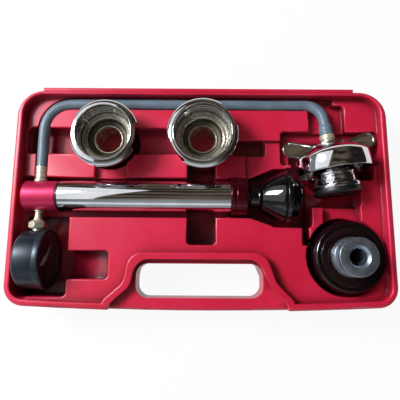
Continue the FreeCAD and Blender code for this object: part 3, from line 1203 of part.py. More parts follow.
def cap_adaptor():
    """The black disc, its rim ring, and the zinc spool held by a nut."""
    at = ("adaptor_x", "adaptor_y", "adaptor_base")
    ledge = "(adaptor_ring_height)"
    roof = "(adaptor_height - adaptor_roof)"
    spool_low = "(adaptor_height + washer_height)"
    spool_top = "(adaptor_height + washer_height + spool_height)"
    inner = "(adaptor_ring_radius - adaptor_wall)"
    body = turned("adaptor_body", (
        (inner, "0"), ("adaptor_ring_radius - fit_gap", "0"), ("adaptor_ring_radius - fit_gap", ledge),
        ("adaptor_mid_radius", ledge), ("adaptor_mid_radius", "adaptor_height - 9*side_gap"),
        ("adaptor_top_radius + 1.4*side_gap", "adaptor_height - 2.4*side_gap"),
        ("adaptor_top_radius", "adaptor_height"), ("spool_shank + fit_gap", "adaptor_height"),
        ("spool_shank + fit_gap", roof), (inner, roof)))
    doc.recompute()
    round_edges(body, at_level(size("adaptor_height")), "0.5*side_gap")
    keep("adaptor_body", stand(body, at))
    pieces = {
        "adaptor_rim_ring": (("adaptor_ring_radius", "0"), ("adaptor_radius - side_gap", "0"),
                             ("adaptor_radius", "side_gap"), ("adaptor_radius", f"{ledge} - 0.8*side_gap"),
                             ("adaptor_radius - 0.8*side_gap", ledge), ("adaptor_ring_radius", ledge)),
        "adaptor_spool_washer": (("spool_shank + fit_gap", "adaptor_height"),
                                 ("washer_radius", "adaptor_height"), ("washer_radius", spool_low),
                                 ("spool_shank + fit_gap", spool_low)),
        "adaptor_spool": (("spool_bore", "adaptor_spool_foot"), ("spool_shank", "adaptor_spool_foot"),
                          ("spool_shank", spool_low), ("spool_radius - 0.5*side_gap", spool_low),
                          ("spool_radius", f"{spool_low} + 0.5*side_gap"),
                          ("spool_radius", f"{spool_low} + spool_flange - 0.5*side_gap"),
                          ("spool_radius - 0.5*side_gap", f"{spool_low} + spool_flange"),
                          ("spool_neck", f"{spool_low} + spool_flange + 0.5*side_gap"),
                          ("spool_neck", f"{spool_top} - spool_flange - 0.5*side_gap"),
                          ("spool_radius - 0.5*side_gap", f"{spool_top} - spool_flange"),
                          ("spool_radius", f"{spool_top} - spool_flange + 0.5*side_gap"),
                          ("spool_radius", f"{spool_top} - 0.6*side_gap"),
                          ("spool_radius - 0.6*side_gap", spool_top),
                          ("spool_bore + 2.2*side_gap", spool_top),
                          ("spool_bore", f"{spool_top} - 2.2*side_gap"))}
    for node, profile in pieces.items():
        keep(node, stand(turned(node, profile), at))
    nut = hexagon("base_nut_blank", "base_nut_across", "base_nut_height",
                  ("0", "0", f"{roof} - base_nut_height"))
    hole = cylinder("base_nut_hole", "spool_shank + fit_gap", "3*base_nut_height",
                    ("0", "0", f"{roof} - 2*base_nut_height"))
    keep("adaptor_base_nut", stand(cut("adaptor_base_nut", nut, hole), at))


# ----------------------------------------------------------------- build all

def check_document():
    """Stop if any object failed to build."""
    doc.recompute()
    for item in doc.Objects:
        if "Invalid" in item.State or "Error" in item.State:
            raise RuntimeError(f"{item.Label} did not build: {item.State}")
    for node, item in parts.items():
        if item.Shape.isNull() or not item.Shape.isValid():
            raise RuntimeError(f"{node} has no valid shape")


def write_parts():
    """One STEP file for each sub-part."""
    os.makedirs("parts", exist_ok=True)
    for node, item in parts.items():
        item.Shape.exportStep(f"parts/{node}.step")
        print(f"{node:24s} solids {len(item.Shape.Solids)}  volume {item.Shape.Volume / 1000:9.3f} cm3")


def main():
    """Build the whole tester."""
    fill_sheet()
    outer_shell()
    inner_tray()
    manifold()
    check_valve()
    barrel_and_collar()
    plunger()
    grip()
    gauge_stem()
    gauge_shell()
    gauge_inside()
    gauge_moving()
    hose()
    head_pieces()
    head_cap()
    neck_adaptor("left_cup", "-cup_spread", "left_cup_x", "left_cup_y", "left_notch_angle")
    neck_adaptor("right_cup", "cup_spread", "right_cup_x", "right_cup_y", "right_notch_angle")
    cap_adaptor()
    check_document()
    write_parts()


main()
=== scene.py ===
"""Visible pieces and finishes of a pressure tester kit, built around its construction.

The frame is the construction's own: X along the pump, Y towards the case's hinge side,
Z up. Axes, places and joints are in metres, but pieces are drawn in millimetres. A
turned one is an outline of (radius, height), with height along the axis it is turned about.
"""
import json
import math

import bpy
from bpy.props import FloatProperty, FloatVectorProperty, IntProperty, PointerProperty
from mathutils import Euler, Matrix, Vector


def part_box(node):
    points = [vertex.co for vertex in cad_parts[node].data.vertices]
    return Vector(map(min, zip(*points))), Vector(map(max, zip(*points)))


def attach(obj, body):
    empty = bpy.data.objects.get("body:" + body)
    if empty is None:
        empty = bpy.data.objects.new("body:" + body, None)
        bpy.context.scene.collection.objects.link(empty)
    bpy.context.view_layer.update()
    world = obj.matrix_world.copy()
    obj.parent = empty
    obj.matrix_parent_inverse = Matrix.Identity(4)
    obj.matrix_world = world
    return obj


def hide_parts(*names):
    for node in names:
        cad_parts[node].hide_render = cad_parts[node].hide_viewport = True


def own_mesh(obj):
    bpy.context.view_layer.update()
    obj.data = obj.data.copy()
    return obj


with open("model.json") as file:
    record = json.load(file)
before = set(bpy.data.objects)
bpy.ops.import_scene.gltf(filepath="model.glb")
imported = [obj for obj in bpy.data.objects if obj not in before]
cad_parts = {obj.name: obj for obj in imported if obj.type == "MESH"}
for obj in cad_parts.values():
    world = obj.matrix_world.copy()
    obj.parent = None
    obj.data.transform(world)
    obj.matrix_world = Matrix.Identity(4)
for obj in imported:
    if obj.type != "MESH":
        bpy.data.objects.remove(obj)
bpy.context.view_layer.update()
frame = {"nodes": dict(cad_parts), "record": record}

bl_info = {
    "name": "Pressure Tester Kit",
    "version": (1, 0, 0),
    "blender": (4, 5, 0),
    "location": "View3D > Sidebar > Tester",
    "description": "Builds the visible pieces and finishes of a pressure tester kit",
    "category": "Object",
}

RECORD = frame["record"]
BODY_OF = {node: body for body, nodes in RECORD["behaviour"]["bodies"].items() for node in nodes}
SLOT_OF = {part["node"]: part["material_slot"] for part in RECORD["subparts"]}
JOINTS = {joint["name"]: joint for joint in RECORD["behaviour"]["joints"]}
MM = 0.001
MERGE_DISTANCE = 0.002 * MM
SHARP_ANGLE = math.radians(28)
SMOOTH_ANGLE = math.radians(35)
FINISHES = {}


# ---- sizes and colours

def srgb(red, green, blue):
    """A screen colour, 0 to 255, as the linear values that a shader takes."""
    def linear(value):
        share = value / 255
        return share / 12.92 if share <= 0.04045 else ((share + 0.055) / 1.055) ** 2.4
    return tuple(linear(value) for value in (red, green, blue))


def length(name, text, millimetres):
    """A length that the user can change."""
    return FloatProperty(name=name, description=text, default=millimetres * MM, min=0.0,
                         precision=5, unit="LENGTH")


def colour(name, text, red, green, blue):
    """A colour that the user can change."""
    return FloatVectorProperty(name=name, description=text, default=srgb(red, green, blue),
                               min=0.0, max=1.0, subtype="COLOR")


class TesterSizes(bpy.types.PropertyGroup):
    """Sizes of the visible details."""
    edge: length("Edge", "How far a machined edge is eased", 0.35)
    groove: length("Groove", "Depth of the grooves in the ferrule and the collar", 0.35)
    crown: length("Window crown", "How far the gauge window swells in the middle", 0.3)
    wing_rim: length("Wing rim", "Width of the raised rim round each wing", 1.2)
    wing_dish: length("Wing dish", "Depth of the dished face inside a wing's rim", 0.5)
    tick_long: length("Long tick", "Length of the dial's numbered ticks", 3.4)
    tick_short: length("Short tick", "Length of the dial's plain ticks", 1.9)
    numeral: length("Numeral", "Height of the dial's numerals", 4.4)
    full_scale: IntProperty(name="Full scale", description="Last number on the dial", default=30, min=5)
    steps: IntProperty(name="Turning steps", description="Facets round a turned piece", default=96, min=24)


class TesterColours(bpy.types.PropertyGroup):
    """Colours of the finishes."""
    case: colour("Case", "Moulded plastic of the case", 212, 36, 72)
    case_shade: colour("Case shade", "Darker tone in the case's plastic", 202, 26, 56)
    manifold: colour("Manifold", "Anodised end block", 206, 40, 88)
    collar: colour("Collar", "Anodised screw collar", 74, 5, 21)
    chrome: colour("Chrome", "Bright plating", 214, 214, 216)
    nickel: colour("Nickel", "Satin plating inside the cups", 206, 200, 180)
    steel: colour("Steel", "Plain steel", 170, 170, 174)
    brass: colour("Brass", "Pale brass fittings", 236, 230, 204)
    zinc: colour("Zinc", "Blue zinc plating", 182, 194, 208)
    rubber: colour("Rubber", "Black seals", 16, 16, 18)
    fibre: colour("Fibre", "Tan washers in the cups", 84, 74, 54)
    hose: colour("Hose", "Grey hose", 106, 122, 134)
    gauge: colour("Gauge", "Gauge housing", 30, 40, 50)
    dial: colour("Dial", "Face of the gauge", 22, 12, 16)
    paint: colour("Paint", "Marks and pointer of the gauge", 150, 128, 124)
    grip: colour("Grip", "Pull grip", 8, 9, 11)
    adaptor: colour("Adaptor", "Cap adaptor", 20, 6, 10)


def sizes():
    """The sizes as the scene holds them."""
    return bpy.context.scene.tester_sizes


def in_mm(name):
    """One of the scene's lengths, in millimetres."""
    return getattr(sizes(), name) / MM


# ---- places and axes

class Line:
    """An axis that turned pieces share. Height 0 is at its origin."""

    def __init__(self, origin, turn):
        self.origin = Vector(origin)
        self.turn = Euler(turn)
        self.way = self.turn.to_matrix() @ Vector((0, 0, 1))


def middle(node):
    """The middle of a CAD node's box."""
    low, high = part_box(node)
    return (Vector(low) + Vector(high)) / 2


def head_line():
    """The test head's axis, from its stem to its seal."""
    joint = JOINTS["head_turn"]
    yaw = math.atan2(joint["axis"][0], -joint["axis"][1])
    return Line(joint["pos_m"], (math.pi / 2, 0, yaw))


def upright(node):
    """A vertical axis through the middle of a node's foot."""
    place = middle(node)
    return Line((place.x, place.y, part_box(node)[0][2]), (0, 0, 0))


AXIS_Z = middle("pump_barrel").z
PORT_X = middle("hose_ferrule_pump").x
DRAWN = Line((0, 0, 0), (0, 0, 0))  # the axis that a piece is drawn about before it is settled
PUMP = Line((0, 0, AXIS_Z), (0, math.pi / 2, 0))
GAUGE = Line((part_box("gauge_case")[0][0], middle("gauge_case").y, AXIS_Z), (0, math.pi / 2, 0))
PORT_BACK = Line((PORT_X, 0, AXIS_Z), (-math.pi / 2, 0, 0))
PORT_FRONT = Line((PORT_X, 0, AXIS_Z), (math.pi / 2, 0, 0))
HEAD = head_line()
CUPS = {side: upright(side + "_cup_body") for side in ("left", "right")}
ADAPTOR = upright("adaptor_rim_ring")


def span(node, line):
    """Where a turned CAD node starts and ends along its axis, and its radius, in mm."""
    points = [Vector(vertex.co) - line.origin for vertex in frame["nodes"][node].data.vertices]
    heights = [point.dot(line.way) for point in points]
    reaches = [(point - line.way * height).length for point, height in zip(points, heights)]
    return min(heights) / MM, max(heights) / MM, max(reaches) / MM


# ---- modelling aids

def deselect():
    """Nothing is selected, so the next operator acts on the next piece alone."""
    bpy.ops.object.select_all(action="DESELECT")


def pick(piece):
    """Only this piece is selected and active."""
    deselect()
    piece.select_set(True)
    bpy.context.view_layer.objects.active = piece


def edit(piece, action="SELECT"):
    """Put a piece in edit mode, with all or none of its mesh selected."""
    pick(piece)
    bpy.ops.object.mode_set(mode="EDIT")
    bpy.ops.mesh.select_all(action=action)


def trace(name, points):
    """A new object in edit mode: a chain of edges through points in mm, all selected."""
    deselect()
    bpy.ops.mesh.primitive_plane_add(size=MM)
    piece = bpy.context.object
    piece.name = name
    piece.data.name = name
    edit(piece)
    bpy.ops.mesh.merge(type="CENTER")
    bpy.ops.transform.translate(value=[value * MM for value in points[0]])
    for here, there in zip(points, points[1:]):
        step = [(b - a) * MM for a, b in zip(here, there)]
        bpy.ops.mesh.extrude_region_move(TRANSFORM_OT_translate={"value": step})
    bpy.ops.mesh.select_all(action="SELECT")
    return piece


def close_mesh():
    """Merge what meets and turn every face outwards, then leave edit mode."""
    bpy.ops.mesh.select_all(action="SELECT")
    bpy.ops.mesh.remove_doubles(threshold=MERGE_DISTANCE)
    bpy.ops.mesh.normals_make_consistent(inside=False)
    bpy.ops.object.mode_set(mode="OBJECT")


def modify(piece, kind, **settings):
    """Add a modifier with its settings to a piece, and apply it."""
    pick(piece)
    bpy.ops.object.modifier_add(type=kind)
    change = piece.modifiers[-1]
    for key, value in settings.items():
        setattr(change, key, value)
    bpy.ops.object.modifier_apply(modifier=change.name)


def ease(piece, width, segments=3):
    """Round the sharp edges of a piece by a width in mm and shade it smooth."""
    if width > 0:
        modify(piece, "BEVEL", width=width * MM, segments=segments, limit_method="ANGLE",
               angle_limit=SHARP_ANGLE)
    pick(piece)
    bpy.ops.object.shade_smooth_by_angle(angle=SMOOTH_ANGLE)


def settle(piece, line):
    """Put a piece that was drawn about Z onto its axis, with its place in its mesh."""
    pick(piece)
    piece.location = line.origin
    piece.rotation_euler = line.turn
    bpy.ops.object.transform_apply()
    return piece


def combine(piece, tool, operation):
    """Join, cut or keep the overlap of two solids, and use up the second one."""
    modify(piece, "BOOLEAN", operation=operation, solver="EXACT", object=tool)
    bpy.data.objects.remove(tool)
    return piece


def join(name, pieces):
    """Several pieces made one object."""
    pick(pieces[0])
    for piece in pieces[1:]:
        piece.select_set(True)
    bpy.ops.object.join()
    pieces[0].name = name
    return pieces[0]


def lathe(name, outline, line=DRAWN, edge=None, angle=math.tau):
    """A turned piece: its outline is spun about its axis and its edges are eased.

    An outline that doesn't start on the axis is closed.
    """
    points = [(radius, 0.0, height) for radius, height in outline]
    if points[0][0] > 0:
        points.append(points[0])
    piece = trace(name, points)
    bpy.ops.mesh.spin(steps=max(6, round(sizes().steps * angle / math.tau)), angle=angle,
                      center=(0, 0, 0), axis=(0, 0, 1))
    close_mesh()
    ease(piece, in_mm("edge") if edge is None else edge)
    return settle(piece, line)


def plate(name, outline, thickness):
    """A flat piece: its outline of (across, along) points is filled and thickened."""
    points = [(across, -thickness / 2, along) for across, along in outline]
    piece = trace(name, points + points[:1])
    bpy.ops.mesh.remove_doubles(threshold=MERGE_DISTANCE)
    bpy.ops.mesh.edge_face_add()
    bpy.ops.mesh.extrude_region_move(TRANSFORM_OT_translate={"value": (0, thickness * MM, 0)})
    close_mesh()
    return piece


def section(inner, outer, low, high):
    """The outline of a plain ring, or of a plain rod where the inner radius is 0."""
    return [(inner, low), (outer, low), (outer, high), (inner, high)]


def hexagon(name, across, low, high, low_chamfer, high_chamfer):
    """A six-sided bar about Z, measured across its flats, with its ends turned down."""
    deselect()
    bpy.ops.mesh.primitive_cylinder_add(vertices=6, radius=across / math.sqrt(3) * MM,
                                        depth=(high - low) * MM, location=(0, 0, (low + high) / 2 * MM))
    bar = bpy.context.object
    bar.name = name
    bpy.ops.object.transform_apply()
    flat = across / 2
    corner = across / math.sqrt(3) + 0.2
    return combine(bar, lathe("facing", [
        (0, low), (flat - low_chamfer, low), (corner, low + low_chamfer * 0.6 + corner - flat),
        (corner, high - high_chamfer * 0.6 - corner + flat), (flat - high_chamfer, high),
        (0, high)], edge=0), "INTERSECT")


def nut(name, across, bore, low, high, line):
    """A chamfered hexagon nut."""
    blank = hexagon(name, across, low, high, 0.3, 0.3)
    combine(blank, lathe("hole", section(0, bore, low - 1, high + 1), edge=0), "DIFFERENCE")
    ease(blank, 0.2, 2)
    return settle(blank, line)


def ring_part(name, outline, degrees, turn, line):
    """Part of a ring, closed at both ends, whose middle is turned about the axis."""
    piece = lathe(name, outline, edge=0, angle=math.radians(degrees))
    edit(piece, "DESELECT")
    bpy.ops.mesh.select_non_manifold()
    bpy.ops.mesh.edge_face_add()
    close_mesh()
    settle(piece, Line((0, 0, 0), (0, 0, math.radians(turn - degrees / 2))))
    return settle(piece, line)


def round_wire(name, kind, places, radius, resolution):
    """A curve object with a round section along a chain of places, and its spline."""
    curve = bpy.data.curves.new(name, "CURVE")
    curve.dimensions = "3D"
    spline = curve.splines.new(kind)
    spline.points.add(len(places) - 1)
    for point, place in zip(spline.points, places):
        point.co = (*place, 1.0)
    curve.bevel_depth = radius
    curve.bevel_resolution = resolution
    curve.use_fill_caps = True
    wire = bpy.data.objects.new(name, curve)
    bpy.context.collection.objects.link(wire)
    return wire, spline


def bow(start, end, sag, count=6):
    """Outline points of a gentle arch between two points, without the ends."""
    run = Vector((end[0] - start[0], end[1] - start[1]))
    out = Vector((run.y, -run.x)).normalized()
    points = []
    for k in range(1, count):
        share = k / count
        points.append(tuple(Vector(start) + run * share + out * (4 * sag * share * (1 - share))))
    return points


def arc(centre, radius, start, finish, count=6):
    """Outline points round a centre, from one angle to another in degrees."""
    points = []
    for k in range(count + 1):
        angle = math.radians(start + (finish - start) * k / count)
        points.append((centre[0] + radius * math.cos(angle), centre[1] + radius * math.sin(angle)))
    return points


def add_to(piece, node, slot):
    """The piece rides on a CAD node's body, with a slot's finish."""
    piece.data.materials.clear()
    piece.data.materials.append(FINISHES[slot])
    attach(piece, BODY_OF[node])


def dress(piece, node):
    """The piece stands for a CAD node: same body, same slot, and that slot's finish."""
    add_to(piece, node, SLOT_OF[node])
    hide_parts(node)
    return piece


def turned(name, node, outline, line, edge=None):
    """A turned piece that stands for a CAD node."""
    return dress(lathe(name, outline, line, edge), node)


# ---- shader aids and shared groups

def feed(tree, socket, value):
    """Link a socket to another node's output, or give it a plain value."""
    if isinstance(value, bpy.types.NodeSocket):
        tree.links.new(value, socket)
    else:
        socket.default_value = (*value, 1.0) if socket.type == "RGBA" and len(value) == 3 else value


def put(tree, kind, feeds=None, **settings):
    """A new node with its settings, and with what its sockets are fed."""
    node = tree.nodes.new(kind)
    for key, value in settings.items():
        setattr(node, key, value)
    for key, value in (feeds or {}).items():
        feed(tree, node.inputs[key], value)
    return node


def object_place(tree):
    """The point being shaded, in the object's own coordinates."""
    return put(tree, "ShaderNodeTexCoord").outputs["Object"]


def noise(tree, vector, scale, detail=3.0, rough=0.6):
    """The value of a noise texture read at a vector."""
    feeds = {"Vector": vector, "Scale": scale, "Detail": detail, "Roughness": rough}
    return put(tree, "ShaderNodeTexNoise", feeds).outputs["Fac"]


def spread(tree, value, low, high, to_low=0.0, to_high=1.0):
    """Stretch a value from one range to another."""
    feeds = {"Value": value, "From Min": low, "From Max": high, "To Min": to_low, "To Max": to_high}
    return put(tree, "ShaderNodeMapRange", feeds).outputs["Result"]


def sum_of(tree, first, second, operation="ADD"):
    """Two values added, or combined another way."""
    return put(tree, "ShaderNodeMath", {0: first, 1: second}, operation=operation).outputs[0]


def blend(tree, share, first, second):
    """Two colours mixed by a share of the second."""
    feeds = {"Factor": share, "A": first, "B": second}
    return put(tree, "ShaderNodeMix", feeds, data_type="RGBA").outputs["Result"]


def rays(tree, *kinds):
    """1 for rays of any of these kinds, 0 for all others."""
    path = put(tree, "ShaderNodeLightPath")
    seen = path.outputs[kinds[0]]
    for kind in kinds[1:]:
        seen = sum_of(tree, seen, path.outputs[kind], "MAXIMUM")
    return seen


def two_shaders(tree, share, first, second):
    """Two shaders mixed by a share of the second, as the material's surface."""
    mix = put(tree, "ShaderNodeMixShader", {0: share, 1: first.outputs[0], 2: second.outputs[0]})
    feed(tree, tree.nodes["Material Output"].inputs["Surface"], mix.outputs["Shader"])


def new_group(name, inputs, *outputs):
    """An empty node group: its inputs and their values, and the names of its outputs."""
    group = bpy.data.node_groups.new(name, "ShaderNodeTree")
    for label, value in inputs.items():
        kind = {3: "Vector", 4: "Color"}[len(value)] if isinstance(value, tuple) else "Float"
        socket = group.interface.new_socket(label, in_out="INPUT", socket_type="NodeSocket" + kind)
        socket.default_value = value
    for label in outputs:
        kind = "Color" if label == "Colour" else "Float"
        group.interface.new_socket(label, in_out="OUTPUT", socket_type="NodeSocket" + kind)
    return group, group.nodes.new("NodeGroupInput").outputs, group.nodes.new("NodeGroupOutput").inputs


def mottle_group():
    """Two tones in soft clouds: no real surface is one flat colour."""
    group, given, result = new_group("Mottle", {
        "Tone": (0.5, 0.5, 0.5, 1), "Second Tone": (0.4, 0.4, 0.4, 1), "Grain": 30.0}, "Colour")
    cloud = noise(group, object_place(group), given["Grain"], 4.0)
    share = spread(group, cloud, 0.36, 0.64)
    feed(group, result["Colour"], blend(group, share, given["Tone"], given["Second Tone"]))


def handling_group():
    """Smears and fine scratches from handling: roughness, and a height for a bump."""
    group, given, result = new_group("Handling", {
        "Roughness": 0.3, "Smear": 0.1, "Grain": 40.0, "Scratch": 0.1}, "Roughness", "Height")
    place = object_place(group)
    cloud = noise(group, place, given["Grain"], 5.0)
    smear = sum_of(group, spread(group, cloud, 0.3, 0.7, -1.0, 1.0), given["Smear"], "MULTIPLY")
    scratches = 0.0
    for turn, stretch in ((0.5, (1500, 60, 300)), (-0.9, (70, 1800, 400)), (1.3, (1200, 90, 1400))):
        feeds = {"Vector": place, "Rotation": (0.2, 0.1, turn), "Scale": stretch}
        bend = put(group, "ShaderNodeMapping", feeds)
        fine = spread(group, noise(group, bend.outputs["Vector"], 1.0, 1.0), 0.68, 0.74)
        scratches = sum_of(group, scratches, fine, "MAXIMUM")
    scratch = sum_of(group, scratches, given["Scratch"], "MULTIPLY")
    total = sum_of(group, sum_of(group, given["Roughness"], smear), scratch)
    feed(group, result["Roughness"], spread(group, total, 0.02, 0.95, 0.02, 0.95))
    feed(group, result["Height"], sum_of(group, cloud, scratch, "SUBTRACT"))


def recess_group():
    """Painted shade: moulded plastic's colour is darkened deep in its own pockets, where its own occlusion
    is strong.
    """
    group, given, result = new_group("Recess", {
        "Tone": (0.5, 0.5, 0.5, 1), "Reach": 0.03, "Shade": 0.16}, "Colour")
    open_air = put(group, "ShaderNodeAmbientOcclusion", {"Distance": given["Reach"]}, samples=8,
                   only_local=True)
    share = spread(group, open_air.outputs["AO"], 0.3, 0.84, given["Shade"], 1.0)
    feed(group, result["Colour"], blend(group, share, (0, 0, 0), given["Tone"]))


def turning_group():
    """Fine rings that a lathe tool leaves, about the Z axis of the point given."""
    group, given, result = new_group("Turning", {"Point": (0, 0, 0), "Rings": 3000.0}, "Height")
    point = put(group, "ShaderNodeSeparateXYZ", {"Vector": given["Point"]}).outputs
    squares = [sum_of(group, point[axis], point[axis], "MULTIPLY") for axis in ("X", "Y")]
    radius = sum_of(group, sum_of(group, *squares), 0.5, "POWER")
    rings = [sum_of(group, value, given["Rings"], "MULTIPLY") for value in (radius, point["Z"])]
    place = put(group, "ShaderNodeCombineXYZ", {"X": rings[0], "Y": rings[1]})
    feed(group, result["Height"], noise(group, place.outputs["Vector"], 1.0, 3.0, 0.7))


def moulding_group():
    """The slightly uneven skin of blow-moulded plastic with its fine grain."""
    group, given, result = new_group("Moulding", {
        "Waves": 35.0, "Grain": 1400.0, "Grain Share": 0.12}, "Height")
    place = object_place(group)
    waves = noise(group, place, given["Waves"], 1.0, 0.4)
    grain = noise(group, place, given["Grain"], 2.0)
    share = sum_of(group, grain, given["Grain Share"], "MULTIPLY")
    feed(group, result["Height"], sum_of(group, waves, share))


# ---- finishes

class Finish:
    """A material being made: constants go on its shader, effects are linked to it."""

    def __init__(self, name, **constants):
        self.material = bpy.data.materials.new(name)
        self.material.use_nodes = True
        self.tree = self.material.node_tree
        self.shader = self.tree.nodes["Principled BSDF"]
        for label, value in constants.items():
            self.give(label.replace("_", " "), value)
        FINISHES[name] = self.material

    def give(self, label, value):
        """Give an input of the shader a value or a link."""
        feed(self.tree, self.shader.inputs[label], value)

    def effect(self, group, **values):
        """The outputs of a shared group that is given its own values or links."""
        feeds = {label.replace("_", " "): value for label, value in values.items()}
        return put(self.tree, "ShaderNodeGroup", feeds, node_tree=bpy.data.node_groups[group]).outputs

    def tones(self, tone, second, grain, reach=0.0):
        """Colour the surface in two soft tones, with painted shade darkening its recesses if asked."""
        tint = self.effect("Mottle", Tone=tone, Second_Tone=second, Grain=grain)["Colour"]
        # painted shade: the tone is darkened by ambient occlusion deep in the piece's own recesses
        if reach > 0:
            tint = self.effect("Recess", Tone=tint, Reach=reach)["Colour"]
        self.give("Base Color", tint)

    def handled(self, roughness, smear, grain, scratch):
        """Vary the roughness with smears and scratches, and return their height."""
        marks = self.effect("Handling", Roughness=roughness, Smear=smear, Grain=grain, Scratch=scratch)
        self.give("Roughness", marks["Roughness"])
        return marks["Height"]

    def bump(self, height, depth, strength, rounded=0.0):
        """Raise the surface by a height, over corners that look rounded if asked."""
        feeds = {"Height": height, "Distance": depth * MM, "Strength": strength}
        if rounded > 0:
            corner = put(self.tree, "ShaderNodeBevel", {"Radius": rounded * MM}, samples=6)
            feeds["Normal"] = corner.outputs["Normal"]
        self.give("Normal", put(self.tree, "ShaderNodeBump", feeds).outputs["Normal"])


def surface(name, tone_name, clouds, marks, relief, line=None, rings=0.0, **constants):
    """A finish in two soft tones with marks of handling, and lathe rings about a given line.

    clouds: the second tone's share of the first, and their grain. marks: roughness,
    smear, grain and scratch. relief: depth in millimetres, and strength.
    """
    share, grain = clouds
    tone = getattr(bpy.context.scene.tester_colours, tone_name)
    finish = Finish(name, **constants)
    finish.tones(tone, tuple(channel * share for channel in tone), grain)
    height = finish.handled(*marks)
    if line:
        feeds = {"Vector": object_place(finish.tree), "Location": line.origin, "Rotation": line.turn}
        local = put(finish.tree, "ShaderNodeMapping", feeds, vector_type="TEXTURE")
        height = finish.effect("Turning", Point=local.outputs["Vector"], Rings=rings)["Height"]
    finish.bump(height, *relief)


def plastic_finishes():
    """The case, the grip and the cap adaptor."""
    shades = bpy.context.scene.tester_colours
    case = Finish("case_plastic", Specular_IOR_Level=0.5)
    # the case's colour carries painted shade deep in its pockets, up to 50 mm in
    case.tones(shades.case, shades.case_shade, 16.0, reach=50 * MM)
    case.handled(0.34, 0.04, 60.0, 0.05)
    case.bump(case.effect("Moulding")["Height"], 0.35, 0.5, rounded=1.4)
    for name, tone, roughness in (("grip_black", "grip", 0.07), ("adaptor_black", "adaptor", 0.12)):
        surface(name, tone, (0.6, 60.0), (roughness, 0.03, 90.0, 0.12), (0.02, 0.4), Specular_IOR_Level=0.6)


def metal_finishes():
    """Plated, turned and anodised metal."""
    surface("chrome", "chrome", (0.86, 45.0), (0.06, 0.025, 35.0, 0.06), (0.06, 0.2), Metallic=1.0)
    for name, metallic, roughness, rings, line in (
            ("nickel", 0.9, 0.28, 2600.0, CUPS["left"]), ("steel", 1.0, 0.28, 3000.0, PUMP),
            ("brass", 0.6, 0.36, 3000.0, PORT_BACK), ("zinc", 0.92, 0.3, 2200.0, ADAPTOR)):
        surface(name, name, (0.72, 120.0), (roughness, 0.07, 150.0, 0.15), (0.03, 0.5), line, rings,
                Metallic=metallic)
    for name, metallic, roughness in (("manifold", 0.5, 0.32), ("collar", 0.6, 0.16)):
        surface(name + "_red", name, (0.84, 70.0), (roughness, 0.04, 90.0, 0.1), (0.004, 0.3), PUMP, 2600.0,
                Metallic=metallic)


def gauge_finishes():
    """Housing, face, marks, pointer and window of the gauge."""
    surface("gauge_black", "gauge", (0.75, 40.0), (0.34, 0.07, 60.0, 0.1), (0.03, 0.4), Metallic=0.3)
    surface("dial_black", "dial", (0.7, 90.0), (0.45, 0.06, 200.0, 0.05), (0.02, 0.3))
    surface("pointer_white", "paint", (0.9, 200.0), (0.4, 0.05, 300.0, 0.05), (0.02, 0.3))
    glass = Finish("gauge_glass", Transmission_Weight=1.0, IOR=1.49, Base_Color=(0.96, 0.97, 0.98))
    glass.bump(glass.handled(0.03, 0.015, 80.0, 0.05), 0.01, 0.2)
    # shadow rays pass straight through the window, so the dial behind it is lit
    clear = put(glass.tree, "ShaderNodeBsdfTransparent")
    two_shaders(glass.tree, rays(glass.tree, "Is Shadow Ray"), glass.shader, clear)


def rubber_finishes():
    """The hose, the black seals and the tan washers."""
    surface("hose_rubber", "hose", (0.8, 70.0), (0.42, 0.08, 120.0, 0.08), (0.05, 0.4),
            Specular_IOR_Level=0.45)
    for name, tone, roughness in (("black_rubber", "rubber", 0.42), ("seal_fibre", "fibre", 0.55)):
        surface(name, tone, (0.6, 150.0), (roughness, 0.08, 300.0, 0.05), (0.05, 0.5))


# ---- camera and hose

CAMERA_PLACE = (-0.00083, -0.0523, 0.36422)
CAMERA_TURN = (math.radians(8.559), 0.0, math.radians(0.376))
CAMERA_LENS = 32.85
CAMERA_SENSOR = 36.0

# the hose from the pump's ferrule round the tray to the test head
HOSE_ROUTE = (
    (-0.1476, 0.0272, 0.034), (-0.1476, 0.040, 0.034), (-0.1479, 0.055, 0.034), (-0.1474, 0.070, 0.034),
    (-0.1408, 0.0816, 0.034), (-0.1293, 0.0882, 0.034), (-0.110, 0.0887, 0.034), (-0.082, 0.0882, 0.034),
    (-0.040, 0.0887, 0.034), (0.005, 0.0882, 0.034), (0.038, 0.0886, 0.034), (0.062, 0.0882, 0.034),
    (0.084, 0.0885, 0.034), (0.1003, 0.0887, 0.0343), (0.1083, 0.0841, 0.0364),
    (0.11348, 0.07681, 0.038), (0.11473, 0.06790, 0.038),
)
HOSE_RADIUS = 5.0 * MM


# ---- case

def moulded(node, name):
    """A merged copy of a moulded skin, with flat faces kept flat in its shading."""
    mesh = frame["nodes"][node].data.copy()
    mesh.name = name
    piece = bpy.data.objects.new(name, mesh)
    bpy.context.collection.objects.link(piece)
    edit(piece)
    bpy.ops.mesh.remove_doubles(threshold=0.005 * MM)
    bpy.ops.mesh.dissolve_limited(angle_limit=math.radians(0.5))
    bpy.ops.object.mode_set(mode="OBJECT")
    bpy.ops.object.shade_smooth_by_angle(angle=SMOOTH_ANGLE)
    modify(piece, "WEIGHTED_NORMAL", keep_sharp=True, weight=60)
    dress(piece, node)


# ---- pump

SHANK = 5.0  # how deep the ferrule and the gauge stem go into the manifold
SPOT_RADIUS = 7.0


